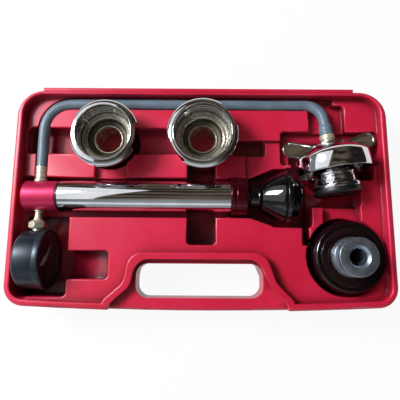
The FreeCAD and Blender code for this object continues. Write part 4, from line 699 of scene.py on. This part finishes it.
def build_manifold():
    """End block with its two spot faces, and the gasket behind it."""
    start, spigot_end, radius = span("pump_manifold", PUMP)
    shoulder, gasket_end, gasket_radius = span("manifold_gasket", PUMP)
    bore = span("piston", PUMP)[2]
    chamfer = 1.1
    block = lathe("manifold_block", [
        (0, start), (radius - chamfer, start), (radius, start + chamfer), (radius, shoulder - chamfer / 2),
        (radius - chamfer / 2, shoulder), (bore, shoulder), (bore, spigot_end), (0, spigot_end)], PUMP, 0)
    face = span("hose_ferrule_pump", PORT_BACK)[0] + SHANK
    for line in (PORT_BACK, PORT_FRONT):
        spot = lathe("spot", section(0, SPOT_RADIUS, face, radius + 1), line, edge=0)
        combine(block, spot, "DIFFERENCE")
    ease(block, 0.3, 2)
    dress(block, "pump_manifold")
    turned("manifold_ring", "manifold_gasket", section(bore, gasket_radius, shoulder, gasket_end), PUMP)


def build_barrel():
    """Chrome tube and its screw collar."""
    start, end, radius = span("pump_barrel", PUMP)
    bore = span("piston", PUMP)[2] + 0.08
    turned("barrel_tube", "pump_barrel", section(bore, radius, start, end), PUMP)
    low, high, outer = span("pump_collar", PUMP)
    bush = span("rod_bush", PUMP)[2]
    sunk = outer - in_mm("groove")
    inner = radius + 0.05
    turned("screw_collar", "pump_collar", [
        (inner, low), (outer - 0.8, low), (outer, low + 0.8), (outer, low + 3.6), (sunk, low + 4.0),
        (sunk, low + 5.0), (outer, low + 5.4), (outer, high - 1.3), (outer - 1.3, high), (bush, high),
        (bush, end), (inner, end)], PUMP, 0.25)


def build_grip():
    """Pull grip: neck, flared cone, flange and domed end."""
    start, end, flange = span("pump_grip", PUMP)
    rod = span("plunger_rod", PUMP)[2] + 0.3
    insert_start, insert_end, insert = span("grip_insert", PUMP)
    neck = (0.388 * flange, start + 7.5)
    mouth = (0.527 * flange, start + 10.5)
    rim = (0.963 * flange, start + 29.4)
    seat = start + 31.4
    face = seat + 3.6
    dome = 0.72 * flange
    shoulder = face + 3.4
    crown = [(dome * math.cos(t) ** 0.7, shoulder + (end - shoulder) * math.sin(t) ** 0.8)
             for t in (math.radians(9 * k) for k in range(1, 10))]
    turned("pull_grip", "pump_grip", [
        (rod, start), (neck[0] - 1, start), (neck[0], start + 1), neck, *bow(neck, mouth, -0.5, 4), mouth,
        *bow(mouth, rim, 0.5), rim, (rim[0] - 1.3, rim[1] + 1), (flange, seat), (flange, face),
        (dome + 0.6, face + 1.4), (dome, shoulder), *crown, (0, end), (0, insert_end), (insert, insert_end),
        (insert, insert_start), (rod, insert_start)], PUMP, 0.6)


# ---- gauge

STEM_HEXAGON = 14.0
DIAL_START = 225.0
DIAL_SWEEP = 270.0


def build_gauge_stem():
    """Waisted brass neck and hexagon between the manifold and the gauge."""
    start, end, _ = span("gauge_stem", PORT_FRONT)
    foot = start + SHANK
    low = foot + 9.0
    high = low + 7.8
    neck = 3.2
    collar = neck + 1.1
    waist = (neck, foot + 1.6)
    flare = (neck + 1.4, low + 0.4)
    blank = hexagon("gauge_neck", STEM_HEXAGON, low, high, 2.2, 0.6)
    combine(blank, lathe("core", [
        (0, start), (neck, start), (neck, foot), (collar, foot), (collar, foot + 1), waist,
        *bow(waist, flare, -0.5), flare, (4.4, high + 0.2), (4.4, end), (0, end)], edge=0), "UNION")
    ease(blank, 0.25, 2)
    dress(settle(blank, PORT_FRONT), "gauge_stem")


def build_gauge_shell():
    """Housing, ring, window and face."""
    start, end, radius = span("gauge_case", GAUGE)
    wall = 1.1
    back = 3.0
    turned("gauge_housing", "gauge_case", [
        (0, start), *arc((radius - back, start + back), back, -90, 0), (radius, end), (radius - wall, end),
        (radius - wall, start + wall), (0, start + wall)], GAUGE, 0.2)
    low, front, outer = span("gauge_bezel", GAUGE)
    _, lens_top, lens_radius = span("gauge_lens", GAUGE)
    roll = 1.4
    lip = outer - 2.8
    turned("gauge_ring", "gauge_bezel", [
        (radius, low), (outer - 0.4, low), (outer, low + 0.8),
        *arc((outer - roll, front - roll), roll, 0, 90), (lip + 0.4, front - 0.2), (lip, front - 0.6),
        (lip, lens_top), (radius, lens_top)], GAUGE, 0.15)
    turned("gauge_window", "gauge_lens", [
        (0, end), (lens_radius, end), (lens_radius, lens_top),
        *bow((lip, lens_top), (0, lens_top), in_mm("crown"), 8), (0, lens_top)], GAUGE, 0)
    low, high, outer = span("gauge_dial", GAUGE)
    turned("gauge_face", "gauge_dial", section(2.0, outer, low, high), GAUGE, 0.1)


def on_dial(piece, radius, value, height, follow):
    """Lay a mark that was drawn flat at its value's place, turned with it if it follows."""
    angle = math.radians(DIAL_START - DIAL_SWEEP * value / sizes().full_scale)
    up = radius * math.sin(angle)
    across = radius * math.cos(angle)
    dial = Matrix(((0, 0, 1), (0, -1, 0), (1, 0, 0))).to_4x4()
    place = Matrix.Translation(GAUGE.origin + Vector((height, -up, across)) * MM)
    pick(piece)
    piece.matrix_world = place @ dial @ Matrix.Rotation(angle if follow else 0, 4, "Z")
    bpy.ops.object.transform_apply()


def tick(reach, width):
    """One painted tick, drawn flat and tapered towards the middle of the dial."""
    deselect()
    bpy.ops.mesh.primitive_plane_add(size=1)
    mark = bpy.context.object
    mark.scale = (reach * MM, width * MM, 1)
    bpy.ops.object.transform_apply()
    bpy.ops.object.mode_set(mode="EDIT")
    bpy.ops.mesh.extrude_region_move(TRANSFORM_OT_translate={"value": (0, 0, 0.04 * MM)})
    close_mesh()
    for vertex in mark.data.vertices:
        if vertex.co.x < 0:
            vertex.co.y *= 0.7
    return mark


def numeral(value):
    """A raised number for the dial, as a mesh."""
    deselect()
    bpy.ops.object.text_add()
    text = bpy.context.object
    text.data.body = str(value)
    text.data.align_x = "CENTER"
    text.data.align_y = "CENTER"
    text.data.size = sizes().numeral
    text.data.extrude = 0.03 * MM
    bpy.ops.object.convert(target="MESH")
    return bpy.context.object


def build_dial_marks():
    """Ticks and plain numbers round the dial."""
    _, face, outer = span("gauge_dial", GAUGE)
    marks = []
    for value in range(sizes().full_scale + 1):
        long = value % 5 == 0
        reach = in_mm("tick_long" if long else "tick_short")
        marks.append(tick(reach, 0.64 if long else 0.36))
        on_dial(marks[-1], outer - 1.2 - reach / 2, value, face, follow=True)
        if long:
            marks.append(numeral(value))
            on_dial(marks[-1], outer - 3.0 - reach - in_mm("numeral") / 2, value, face, follow=False)
    add_to(join("dial_marks", marks), "gauge_dial", "pointer_white")


# ---- hose ends and test head

HEAD_BORE = 5.08


def crimped(outer, low, high):
    """Outline of a ferrule's outside with two crimped grooves."""
    sunk = outer - in_mm("groove")
    outline = [(outer, low)]
    for start in (0.26, 0.62):
        for radius, share in ((outer, 0), (sunk, 0.04), (sunk, 0.16), (outer, 0.2)):
            outline.append((radius, low + (start + share) * (high - low)))
    return [*outline, (outer, high)]


def build_hose_ends():
    """Crimped ferrules at both ends and the swollen end of the hose."""
    start, end, foot = span("hose_ferrule_pump", PORT_BACK)
    face = start + SHANK
    ring = face + 3.8
    outer = 5.4
    turned("pump_ferrule", "hose_ferrule_pump", [
        (0, start), (3, start), (3, face), (foot, face), (foot, face + 2.1), (outer - 0.8, face + 3.0),
        (outer - 0.8, ring), *crimped(outer, ring, end), (0, end)], PORT_BACK, 0.2)
    low, high, swell = span("hose_end_on_barb", HEAD)
    narrow = (HOSE_RADIUS / MM, low)
    full = (swell, low + 5.0)
    swell_end = turned("hose_swell", "hose_end_on_barb", [
        (0, low), narrow, *bow(narrow, full, 0.5), full, (swell, high - 0.4), (swell - 0.4, high),
        (0, high)], HEAD, 0.1)
    low, foot, outer = span("hose_ferrule_head", HEAD)
    ferrule = turned("head_ferrule", "hose_ferrule_head", [
        (2.6, low), (outer - 0.4, low), (outer, low + 0.4), (outer, foot - 2.4), (outer - 1, foot - 2.0),
        (outer - 1, foot), (2.6, foot)], HEAD, 0.2)
    low, high, collar = span("head_stem", HEAD)
    stem = 5.0
    turned("stem_rod", "head_stem", [
        (0, low), (2.5, low), (2.5, foot), (collar - 0.6, foot), (collar, foot + 0.6), (collar, -0.05),
        (stem, -0.05), (stem, high), (2.2, high), (2.2, high - 4), (0, high - 4)], HEAD, 0.25)


def cap_profile(radius):
    """Outside of the cap from its flat crown over the shoulder to the skirt."""
    crown = radius - 17.7
    points = [(crown, 0), (crown + 4.2, 1.7), (radius - 6.0, 5.4), (radius - 1.8, 8.7), (radius, 11.5)]
    outline = [points[0]]
    for before, after in zip(points, points[1:]):
        outline += [*bow(before, after, 0.12, 3), after]
    return outline


def build_cap():
    """Pressed chrome cap with its rolled lip and two turned-in lugs."""
    _, end, radius = span("head_cap", HEAD)
    wall = 1.5
    outside = cap_profile(radius)
    inside = [(max(HEAD_BORE, r - wall * 0.8), h + wall * 0.9) for r, h in outside[:-3]]
    pieces = [lathe("cap_shell", [
        (HEAD_BORE, 0), *outside, (radius, end - 1.2), (radius - 0.4, end), (radius - wall, end),
        (radius - wall, 13.0), *reversed(inside), (HEAD_BORE, wall * 0.9)], HEAD, edge=0.3)]
    hook = section(radius - wall - 3.0, radius - wall / 2, end - wall, end)
    for turn in (90.0, 270.0):
        pieces.append(ring_part("lug", hook, 32, turn, HEAD))
        ease(pieces[-1], 0.25, 2)
    dress(join("cap_shell", pieces), "head_cap")


def build_wings():
    """Two dished wings folded up from a ring under the cap's crown."""
    thickness = 3.0
    lobe = 7.2
    reach = 35.8
    shift = -1.5
    profile = cap_profile(span("head_cap", HEAD)[2])[:-4]
    outline = [(12.5, 0), *profile, *arc((reach, shift), lobe, 75, -118, 16), (18.5, -3.6), (12.5, -1.5)]
    pieces = []
    for sign in (1, -1):
        blade = plate("blade", [(sign * across, along) for across, along in outline], thickness)
        dish(blade)
        ease(blade, 0.3)
        pieces.append(settle(blade, HEAD))
    collar = span("head_stem", HEAD)[2]
    pieces.append(lathe("wing_ring", section(collar + 0.3, 15.5, -1.2, 0), HEAD))
    dress(join("cap_wings", pieces), "head_wings")


def dish(blade):
    """Press both flat faces of a wing in, inside a raised rim."""
    edit(blade, "DESELECT")
    bpy.context.tool_settings.mesh_select_mode = (False, False, True)
    bpy.ops.object.mode_set(mode="OBJECT")
    for face in blade.data.polygons:
        face.select = abs(face.normal.y) > 0.9
    bpy.ops.object.mode_set(mode="EDIT")
    bpy.ops.mesh.inset(thickness=sizes().wing_rim, depth=0)
    bpy.ops.mesh.inset(thickness=sizes().wing_dish, depth=-sizes().wing_dish)
    bpy.context.tool_settings.mesh_select_mode = (True, False, False)
    bpy.ops.object.mode_set(mode="OBJECT")


def build_spring():
    """Coil spring between the cap's crown and the spring cup."""
    low, high, outer = span("head_spring", HEAD)
    wire = 0.9
    coil = outer - wire
    per_turn = 20
    count = 6 * per_turn
    places = []
    for k in range(count + 1):
        angle = math.tau * k / per_turn
        height = low + wire + (high - low - 2 * wire) * k / count
        places.append(Vector((coil * math.cos(angle), coil * math.sin(angle), height)) * MM)
    spring, _ = round_wire("cap_spring", "POLY", places, wire * MM, 2)
    pick(spring)
    bpy.ops.object.convert(target="MESH")
    spring = bpy.context.object
    bpy.ops.object.shade_smooth_by_angle(angle=math.radians(60))
    dress(settle(spring, HEAD), "head_spring")
    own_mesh(spring)


def build_seal():
    """Spring cup, seal disc, gasket and the two nuts of the head."""
    clear = HEAD_BORE
    low, high, outer = span("head_spring_cup", HEAD)
    floor = high - 1.5
    waist = outer - 0.7
    turned("spring_cup", "head_spring_cup", [
        (clear, floor), (outer - 1.5, floor), (outer - 1.5, low), (outer, low), (outer, high - 8.5),
        (waist, high - 8.0), (waist, high - 6.0), (outer, high - 5.5), (outer, high - 0.6),
        (outer - 0.6, high), (clear, high)], HEAD, 0.25)
    low, high, outer = span("head_seal_plate", HEAD)
    turned("seal_disc", "head_seal_plate", [
        (clear, low), (outer - 1, low), (outer, low + 1), (outer, high), (clear, high)], HEAD, 0.5)
    low, high, outer = span("head_gasket", HEAD)
    inner = 9.2
    turned("seal_ring", "head_gasket", [
        (inner, low), (outer, low), (outer, high - 1.6), (outer - 1.6, high), (inner + 1, high),
        (inner, high - 1)], HEAD, 0.5)
    last = span("head_retaining_nut", HEAD)[1]
    nuts = [nut("cap_nut", 17.0, clear, 1.55, 4.55, HEAD),
            nut("seal_nut", 14.0, clear, last - 3.0, last, HEAD)]
    dress(join("retaining_nuts", nuts), "head_retaining_nut")


# ---- cups

NOTCH_ANGLES = {"left": 40.0, "right": 81.0}
NOTCH_SWEEP = 46.0


def build_cup(side):
    """One open neck adaptor: can, cam ring, stepped seat and gasket."""
    line = CUPS[side]
    _, top, flare = span(side + "_cup_body", line)
    ring_low, ring_top, ring = span(side + "_cup_cam_ring", line)
    _, seat_top, seat_outer = span(side + "_cup_seat", line)
    step, gasket_top, seat = span(side + "_cup_gasket", line)
    ledge = ring_low + 3.0
    can = flare - 0.8
    bore = can - 1.2
    deep = bore + 0.4
    hole = 11.8
    floor = 3.0
    grooves = []
    for level in (top - 4.0, top - 8.5, top - 13.0):
        grooves += [(bore, level + 0.9), (deep, level + 0.5), (deep, level - 0.5), (bore, level - 0.9)]
    turned(side + "_can", side + "_cup_body", [
        (hole, 0), (can - 4, 0), *arc((can - 3.5, 3.5), 3.5, -80, 0, 5), (can, ledge - 2.2),
        (can + 0.6, ledge - 0.1), (can, ledge), (can, top - 0.5), (can - 0.4, top), (deep, top),
        (bore, top - 1), *grooves, (bore, floor), (hole, floor)], line, 0.15)
    brim = seat_outer - 2.2
    tread = seat_top - 0.7
    lip = seat - 0.35
    cover = gasket_top + 0.2
    turned(side + "_seat", side + "_cup_seat", [
        (hole, floor), (seat_outer, floor), (seat_outer, seat_top), (brim, seat_top), (brim, tread),
        (lip + 1.6, tread), (lip + 0.6, seat_top - 0.1), (lip, tread), (lip, cover), (seat + 0.05, cover),
        (seat + 0.05, step), (hole + 1.9, step), (hole + 1.5, gasket_top), (hole + 0.5, gasket_top),
        (hole, step)], line, 0.2)
    inner = hole + 2.0
    thickness = gasket_top - step
    turned(side + "_washer", side + "_cup_gasket", [
        (inner, step), (seat, step), (seat, step + 0.6 * thickness), (seat - 1.5, gasket_top),
        (inner, step + 0.5 * thickness)], line, 0.3)
    build_cam_ring(side, line, can, ledge, ring_low, ring_top, ring)


def build_cam_ring(side, line, can, ledge, low, top, ring):
    """Flange with a turned-down skirt and two notches."""
    inner = can + 0.05
    brow = (ring - 0.6, ledge + 0.6)
    crest = (can + 1.6, top)
    flange = lathe(side + "_flange", [
        (inner, ledge), (ring - 1.4, ledge), (ring - 1.4, low), (ring, low), (ring, ledge - 0.2), brow,
        *bow(brow, crest, 0.25, 4), crest, (inner, top)], line, edge=0)
    notch = section(ring - 2.6, ring + 1, low - 1, top + 1)
    for turn in (0.0, 180.0):
        cutter = ring_part("notch", notch, NOTCH_SWEEP, NOTCH_ANGLES[side] + turn, line)
        combine(flange, cutter, "DIFFERENCE")
    ease(flange, 0.35)
    dress(flange, side + "_cup_cam_ring")


# ---- cap adaptor

def build_adaptor():
    """Black cap with its rim ring, held on a zinc spool by a nut."""
    line = ADAPTOR
    _, ledge, rim = span("adaptor_rim_ring", line)
    _, top, mid = span("adaptor_body", line)
    ring_bore = rim - 2.2
    inner = ring_bore - 3.0
    shank = 9.05
    roof = top - 5.0
    face = mid - 2.1
    shoulder = (mid, top - 4.6)
    brow = (face - 0.4, top)
    groove = arc((face - 4.0, top), 0.5, 0, -180, 5)
    turned("adaptor_shell", "adaptor_body", [
        (inner, 0), (ring_bore, 0), (ring_bore, ledge), (mid, ledge), shoulder,
        *bow(shoulder, brow, 0.7, 7), brow, *groove, (shank, top), (shank, roof), (inner, roof)], line, 0.5)
    turned("adaptor_band", "adaptor_rim_ring", [
        (ring_bore, 0), (rim - 1, 0), (rim, 1), (rim, ledge - 1), (rim - 1, ledge),
        (ring_bore, ledge)], line, 0.8)
    foot, spool_top, outer = span("adaptor_spool", line)
    washer_low, low, washer = span("adaptor_spool_washer", line)
    bore = 7.2
    sleeve = 9.0
    neck = 13.0
    flange = 4.0
    turned("spool", "adaptor_spool", [
        (bore, foot), (sleeve, foot), (sleeve, low), (outer, low), (outer, low + flange),
        (neck, low + flange + 0.4), (neck, spool_top - flange - 0.4), (outer, spool_top - flange),
        (outer, spool_top), (bore + 2.4, spool_top), (bore, spool_top - 2.4)], line, 0.45)
    turned("spool_washer", "adaptor_spool_washer", section(shank, washer, washer_low, low), line, 0.15)
    low, high, _ = span("adaptor_base_nut", line)
    dress(nut("base_nut", 26.0, shank, low, high, line), "adaptor_base_nut")


# ---- stage

FLOOR_SIZE = 8.0
FLOOR_DROP = 0.3 * MM
FLOOR_GLOW = 0.93  # the share of plain white in what is seen of the floor
LAMPS = (
    # name, place, width, height, watts, colour; all are aimed at the origin
    ("window", (-1.0, 0.45, 0.95), 0.45, 0.45, 25.0, (0.90, 0.95, 1.0)),
    ("side_panel", (-0.9, 0.28, 0.95), 1.8, 1.1, 7.0, (0.92, 0.95, 1.0)),
    ("front_panel", (-0.1, -1.0, 0.6), 1.6, 0.3, 0.9, (0.92, 0.97, 1.0)),
)
ROOM_SHADE = (0.020, 0.017, 0.015)
ROOM_CLOUDS = (0.150, 0.118, 0.085)
ROOM_SIDES = (
    # axis of the view, where the colour starts and where it is full, how full, colour
    ("Y", -0.30, -0.66, 0.85, (0.420, 0.460, 0.490)),
    ("X", -0.80, -0.95, 0.8, (0.300, 0.330, 0.370)),
    ("X", 0.30, 0.60, 0.9, (0.014, 0.012, 0.012)),
)


def add_floor():
    deselect()
    bpy.ops.mesh.primitive_plane_add(size=FLOOR_SIZE, location=(0, 0, -FLOOR_DROP))
    floor = bpy.context.object
    floor.name = "floor"
    white = Finish("floor_white", Base_Color=(0.93, 0.93, 0.93), Roughness=0.8)
    glow = put(white.tree, "ShaderNodeEmission")
    seen = rays(white.tree, "Is Camera Ray", "Is Glossy Ray", "Is Transmission Ray")
    two_shaders(white.tree, sum_of(white.tree, seen, FLOOR_GLOW, "MULTIPLY"), white.shader, glow)
    floor.data.materials.append(white.material)


def add_lamps():
    """A small strong window at the left, a wide dim panel round it and one in front."""
    for name, place, width, height, watts, tint in LAMPS:
        deselect()
        bpy.ops.object.light_add(type="AREA", location=place)
        lamp = bpy.context.object
        lamp.name = name
        lamp.data.shape = "RECTANGLE"
        lamp.data.size = width
        lamp.data.size_y = height
        lamp.data.energy = watts
        lamp.data.color = tint
        lamp.rotation_euler = (-Vector(place)).to_track_quat("-Z", "Y").to_euler()


def add_sky():
    """White for the camera; metal sees a dim room, pale in front and dark to the right."""
    world = bpy.data.worlds.new("studio")
    world.use_nodes = True
    tree = world.node_tree
    way = put(tree, "ShaderNodeTexCoord").outputs["Generated"]
    parts = put(tree, "ShaderNodeSeparateXYZ", {"Vector": way})
    stretch = put(tree, "ShaderNodeMapping", {"Vector": way, "Scale": (1.2, 5.0, 5.0)})
    clouds = noise(tree, stretch.outputs["Vector"], 1.0, 2.0)
    light = blend(tree, spread(tree, clouds, 0.40, 0.58), ROOM_SHADE, ROOM_CLOUDS)
    for axis, start, full, share, tone in ROOM_SIDES:
        light = blend(tree, spread(tree, parts.outputs[axis], start, full, 0.0, share), light, tone)
    seen = rays(tree, "Is Camera Ray", "Is Transmission Ray")
    feed(tree, tree.nodes["Background"].inputs["Color"], blend(tree, seen, light, (1, 1, 1)))
    bpy.context.scene.world = world


# ---- operators

class BuildCamera(bpy.types.Operator):
    """Put the camera above the open case."""
    bl_idname = "tester.camera"
    bl_label = "Camera"

    def execute(self, context):
        deselect()
        bpy.ops.object.camera_add(location=CAMERA_PLACE, rotation=CAMERA_TURN)
        camera = bpy.context.object
        camera.name = "camera"
        camera.data.lens = CAMERA_LENS
        camera.data.sensor_width = CAMERA_SENSOR
        camera.data.clip_start = 0.01
        context.scene.camera = camera
        return {"FINISHED"}


class BuildFinishes(bpy.types.Operator):
    """Make the shared effects and every finish."""
    bl_idname = "tester.finishes"
    bl_label = "Finishes"

    def execute(self, context):
        for make in (mottle_group, recess_group, handling_group, turning_group, moulding_group,
                     plastic_finishes, metal_finishes, gauge_finishes, rubber_finishes):
            make()
        return {"FINISHED"}


class BuildHose(bpy.types.Operator):
    """Lay the hose as one smooth line along its route."""
    bl_idname = "tester.hose"
    bl_label = "Hose"

    def execute(self, context):
        hose, spline = round_wire("tester_hose", "NURBS", HOSE_ROUTE, HOSE_RADIUS, 8)
        spline.order_u = 3
        spline.use_endpoint_u = True
        spline.resolution_u = 10
        dress(hose, "hose")
        return {"FINISHED"}


class BuildCase(bpy.types.Operator):
    """Make the case's shell and tray."""
    bl_idname = "tester.case"
    bl_label = "Case"

    def execute(self, context):
        moulded("case_outer_shell", "case_shell")
        moulded("case_inner_tray", "case_tray")
        return {"FINISHED"}


class BuildPump(bpy.types.Operator):
    """Make the manifold, barrel, collar and grip."""
    bl_idname = "tester.pump"
    bl_label = "Pump"

    def execute(self, context):
        build_manifold()
        build_barrel()
        build_grip()
        return {"FINISHED"}


class BuildGauge(bpy.types.Operator):
    """Make the gauge, its stem and the marks on its dial."""
    bl_idname = "tester.gauge"
    bl_label = "Gauge"

    def execute(self, context):
        build_gauge_stem()
        build_gauge_shell()
        build_dial_marks()
        return {"FINISHED"}


class BuildHead(bpy.types.Operator):
    """Make the hose's ends and the test head."""
    bl_idname = "tester.head"
    bl_label = "Test head"

    def execute(self, context):
        build_hose_ends()
        build_cap()
        build_wings()
        build_spring()
        build_seal()
        return {"FINISHED"}


class BuildCups(bpy.types.Operator):
    """Make the two open neck adaptors."""
    bl_idname = "tester.cups"
    bl_label = "Neck adaptors"

    def execute(self, context):
        for side in CUPS:
            build_cup(side)
        return {"FINISHED"}


class BuildAdaptor(bpy.types.Operator):
    """Make the cap adaptor and its spool."""
    bl_idname = "tester.adaptor"
    bl_label = "Cap adaptor"

    def execute(self, context):
        build_adaptor()
        return {"FINISHED"}


class BuildInnerWorks(bpy.types.Operator):
    """Give the construction's own pieces that still show their slot's finish."""
    bl_idname = "tester.inner_works"
    bl_label = "Inner works"

    def execute(self, context):
        for name, node in frame["nodes"].items():
            if node.hide_render:
                continue
            finish = FINISHES[SLOT_OF[name]]
            if node.material_slots:
                for place in node.material_slots:
                    place.material = finish
            else:
                node.data.materials.append(finish)
        return {"FINISHED"}


class BuildStage(bpy.types.Operator):
    """Add the floor, the lamps and the sky, and show colours plainly."""
    bl_idname = "tester.stage"
    bl_label = "Stage"

    def execute(self, context):
        add_floor()
        add_lamps()
        add_sky()
        context.scene.view_settings.view_transform = "Standard"
        return {"FINISHED"}


STEPS = (BuildCamera, BuildFinishes, BuildHose, BuildCase, BuildPump, BuildGauge, BuildHead, BuildCups,
         BuildAdaptor, BuildInnerWorks, BuildStage)


class TesterPanel(bpy.types.Panel):
    bl_idname = "VIEW3D_PT_tester"
    bl_label = "Pressure tester"
    bl_space_type = "VIEW_3D"
    bl_region_type = "UI"
    bl_category = "Tester"

    def draw(self, context):
        for step in STEPS:
            self.layout.operator(step.bl_idname)
        for group in (context.scene.tester_sizes, context.scene.tester_colours):
            for name in group.__annotations__:
                self.layout.prop(group, name)


CLASSES = (TesterSizes, TesterColours, *STEPS, TesterPanel)


def register():
    """Register the classes and hang the sizes and colours on the scene."""
    for cls in CLASSES:
        bpy.utils.register_class(cls)
    bpy.types.Scene.tester_sizes = PointerProperty(type=TesterSizes)
    bpy.types.Scene.tester_colours = PointerProperty(type=TesterColours)


def unregister():
    """Take everything back."""
    del bpy.types.Scene.tester_colours
    del bpy.types.Scene.tester_sizes
    for cls in reversed(CLASSES):
        bpy.utils.unregister_class(cls)


def main():
    register()
    for step in STEPS:
        group, name = step.bl_idname.split(".")
        getattr(getattr(bpy.ops, group), name)()


if __name__ == "__main__":
    main()
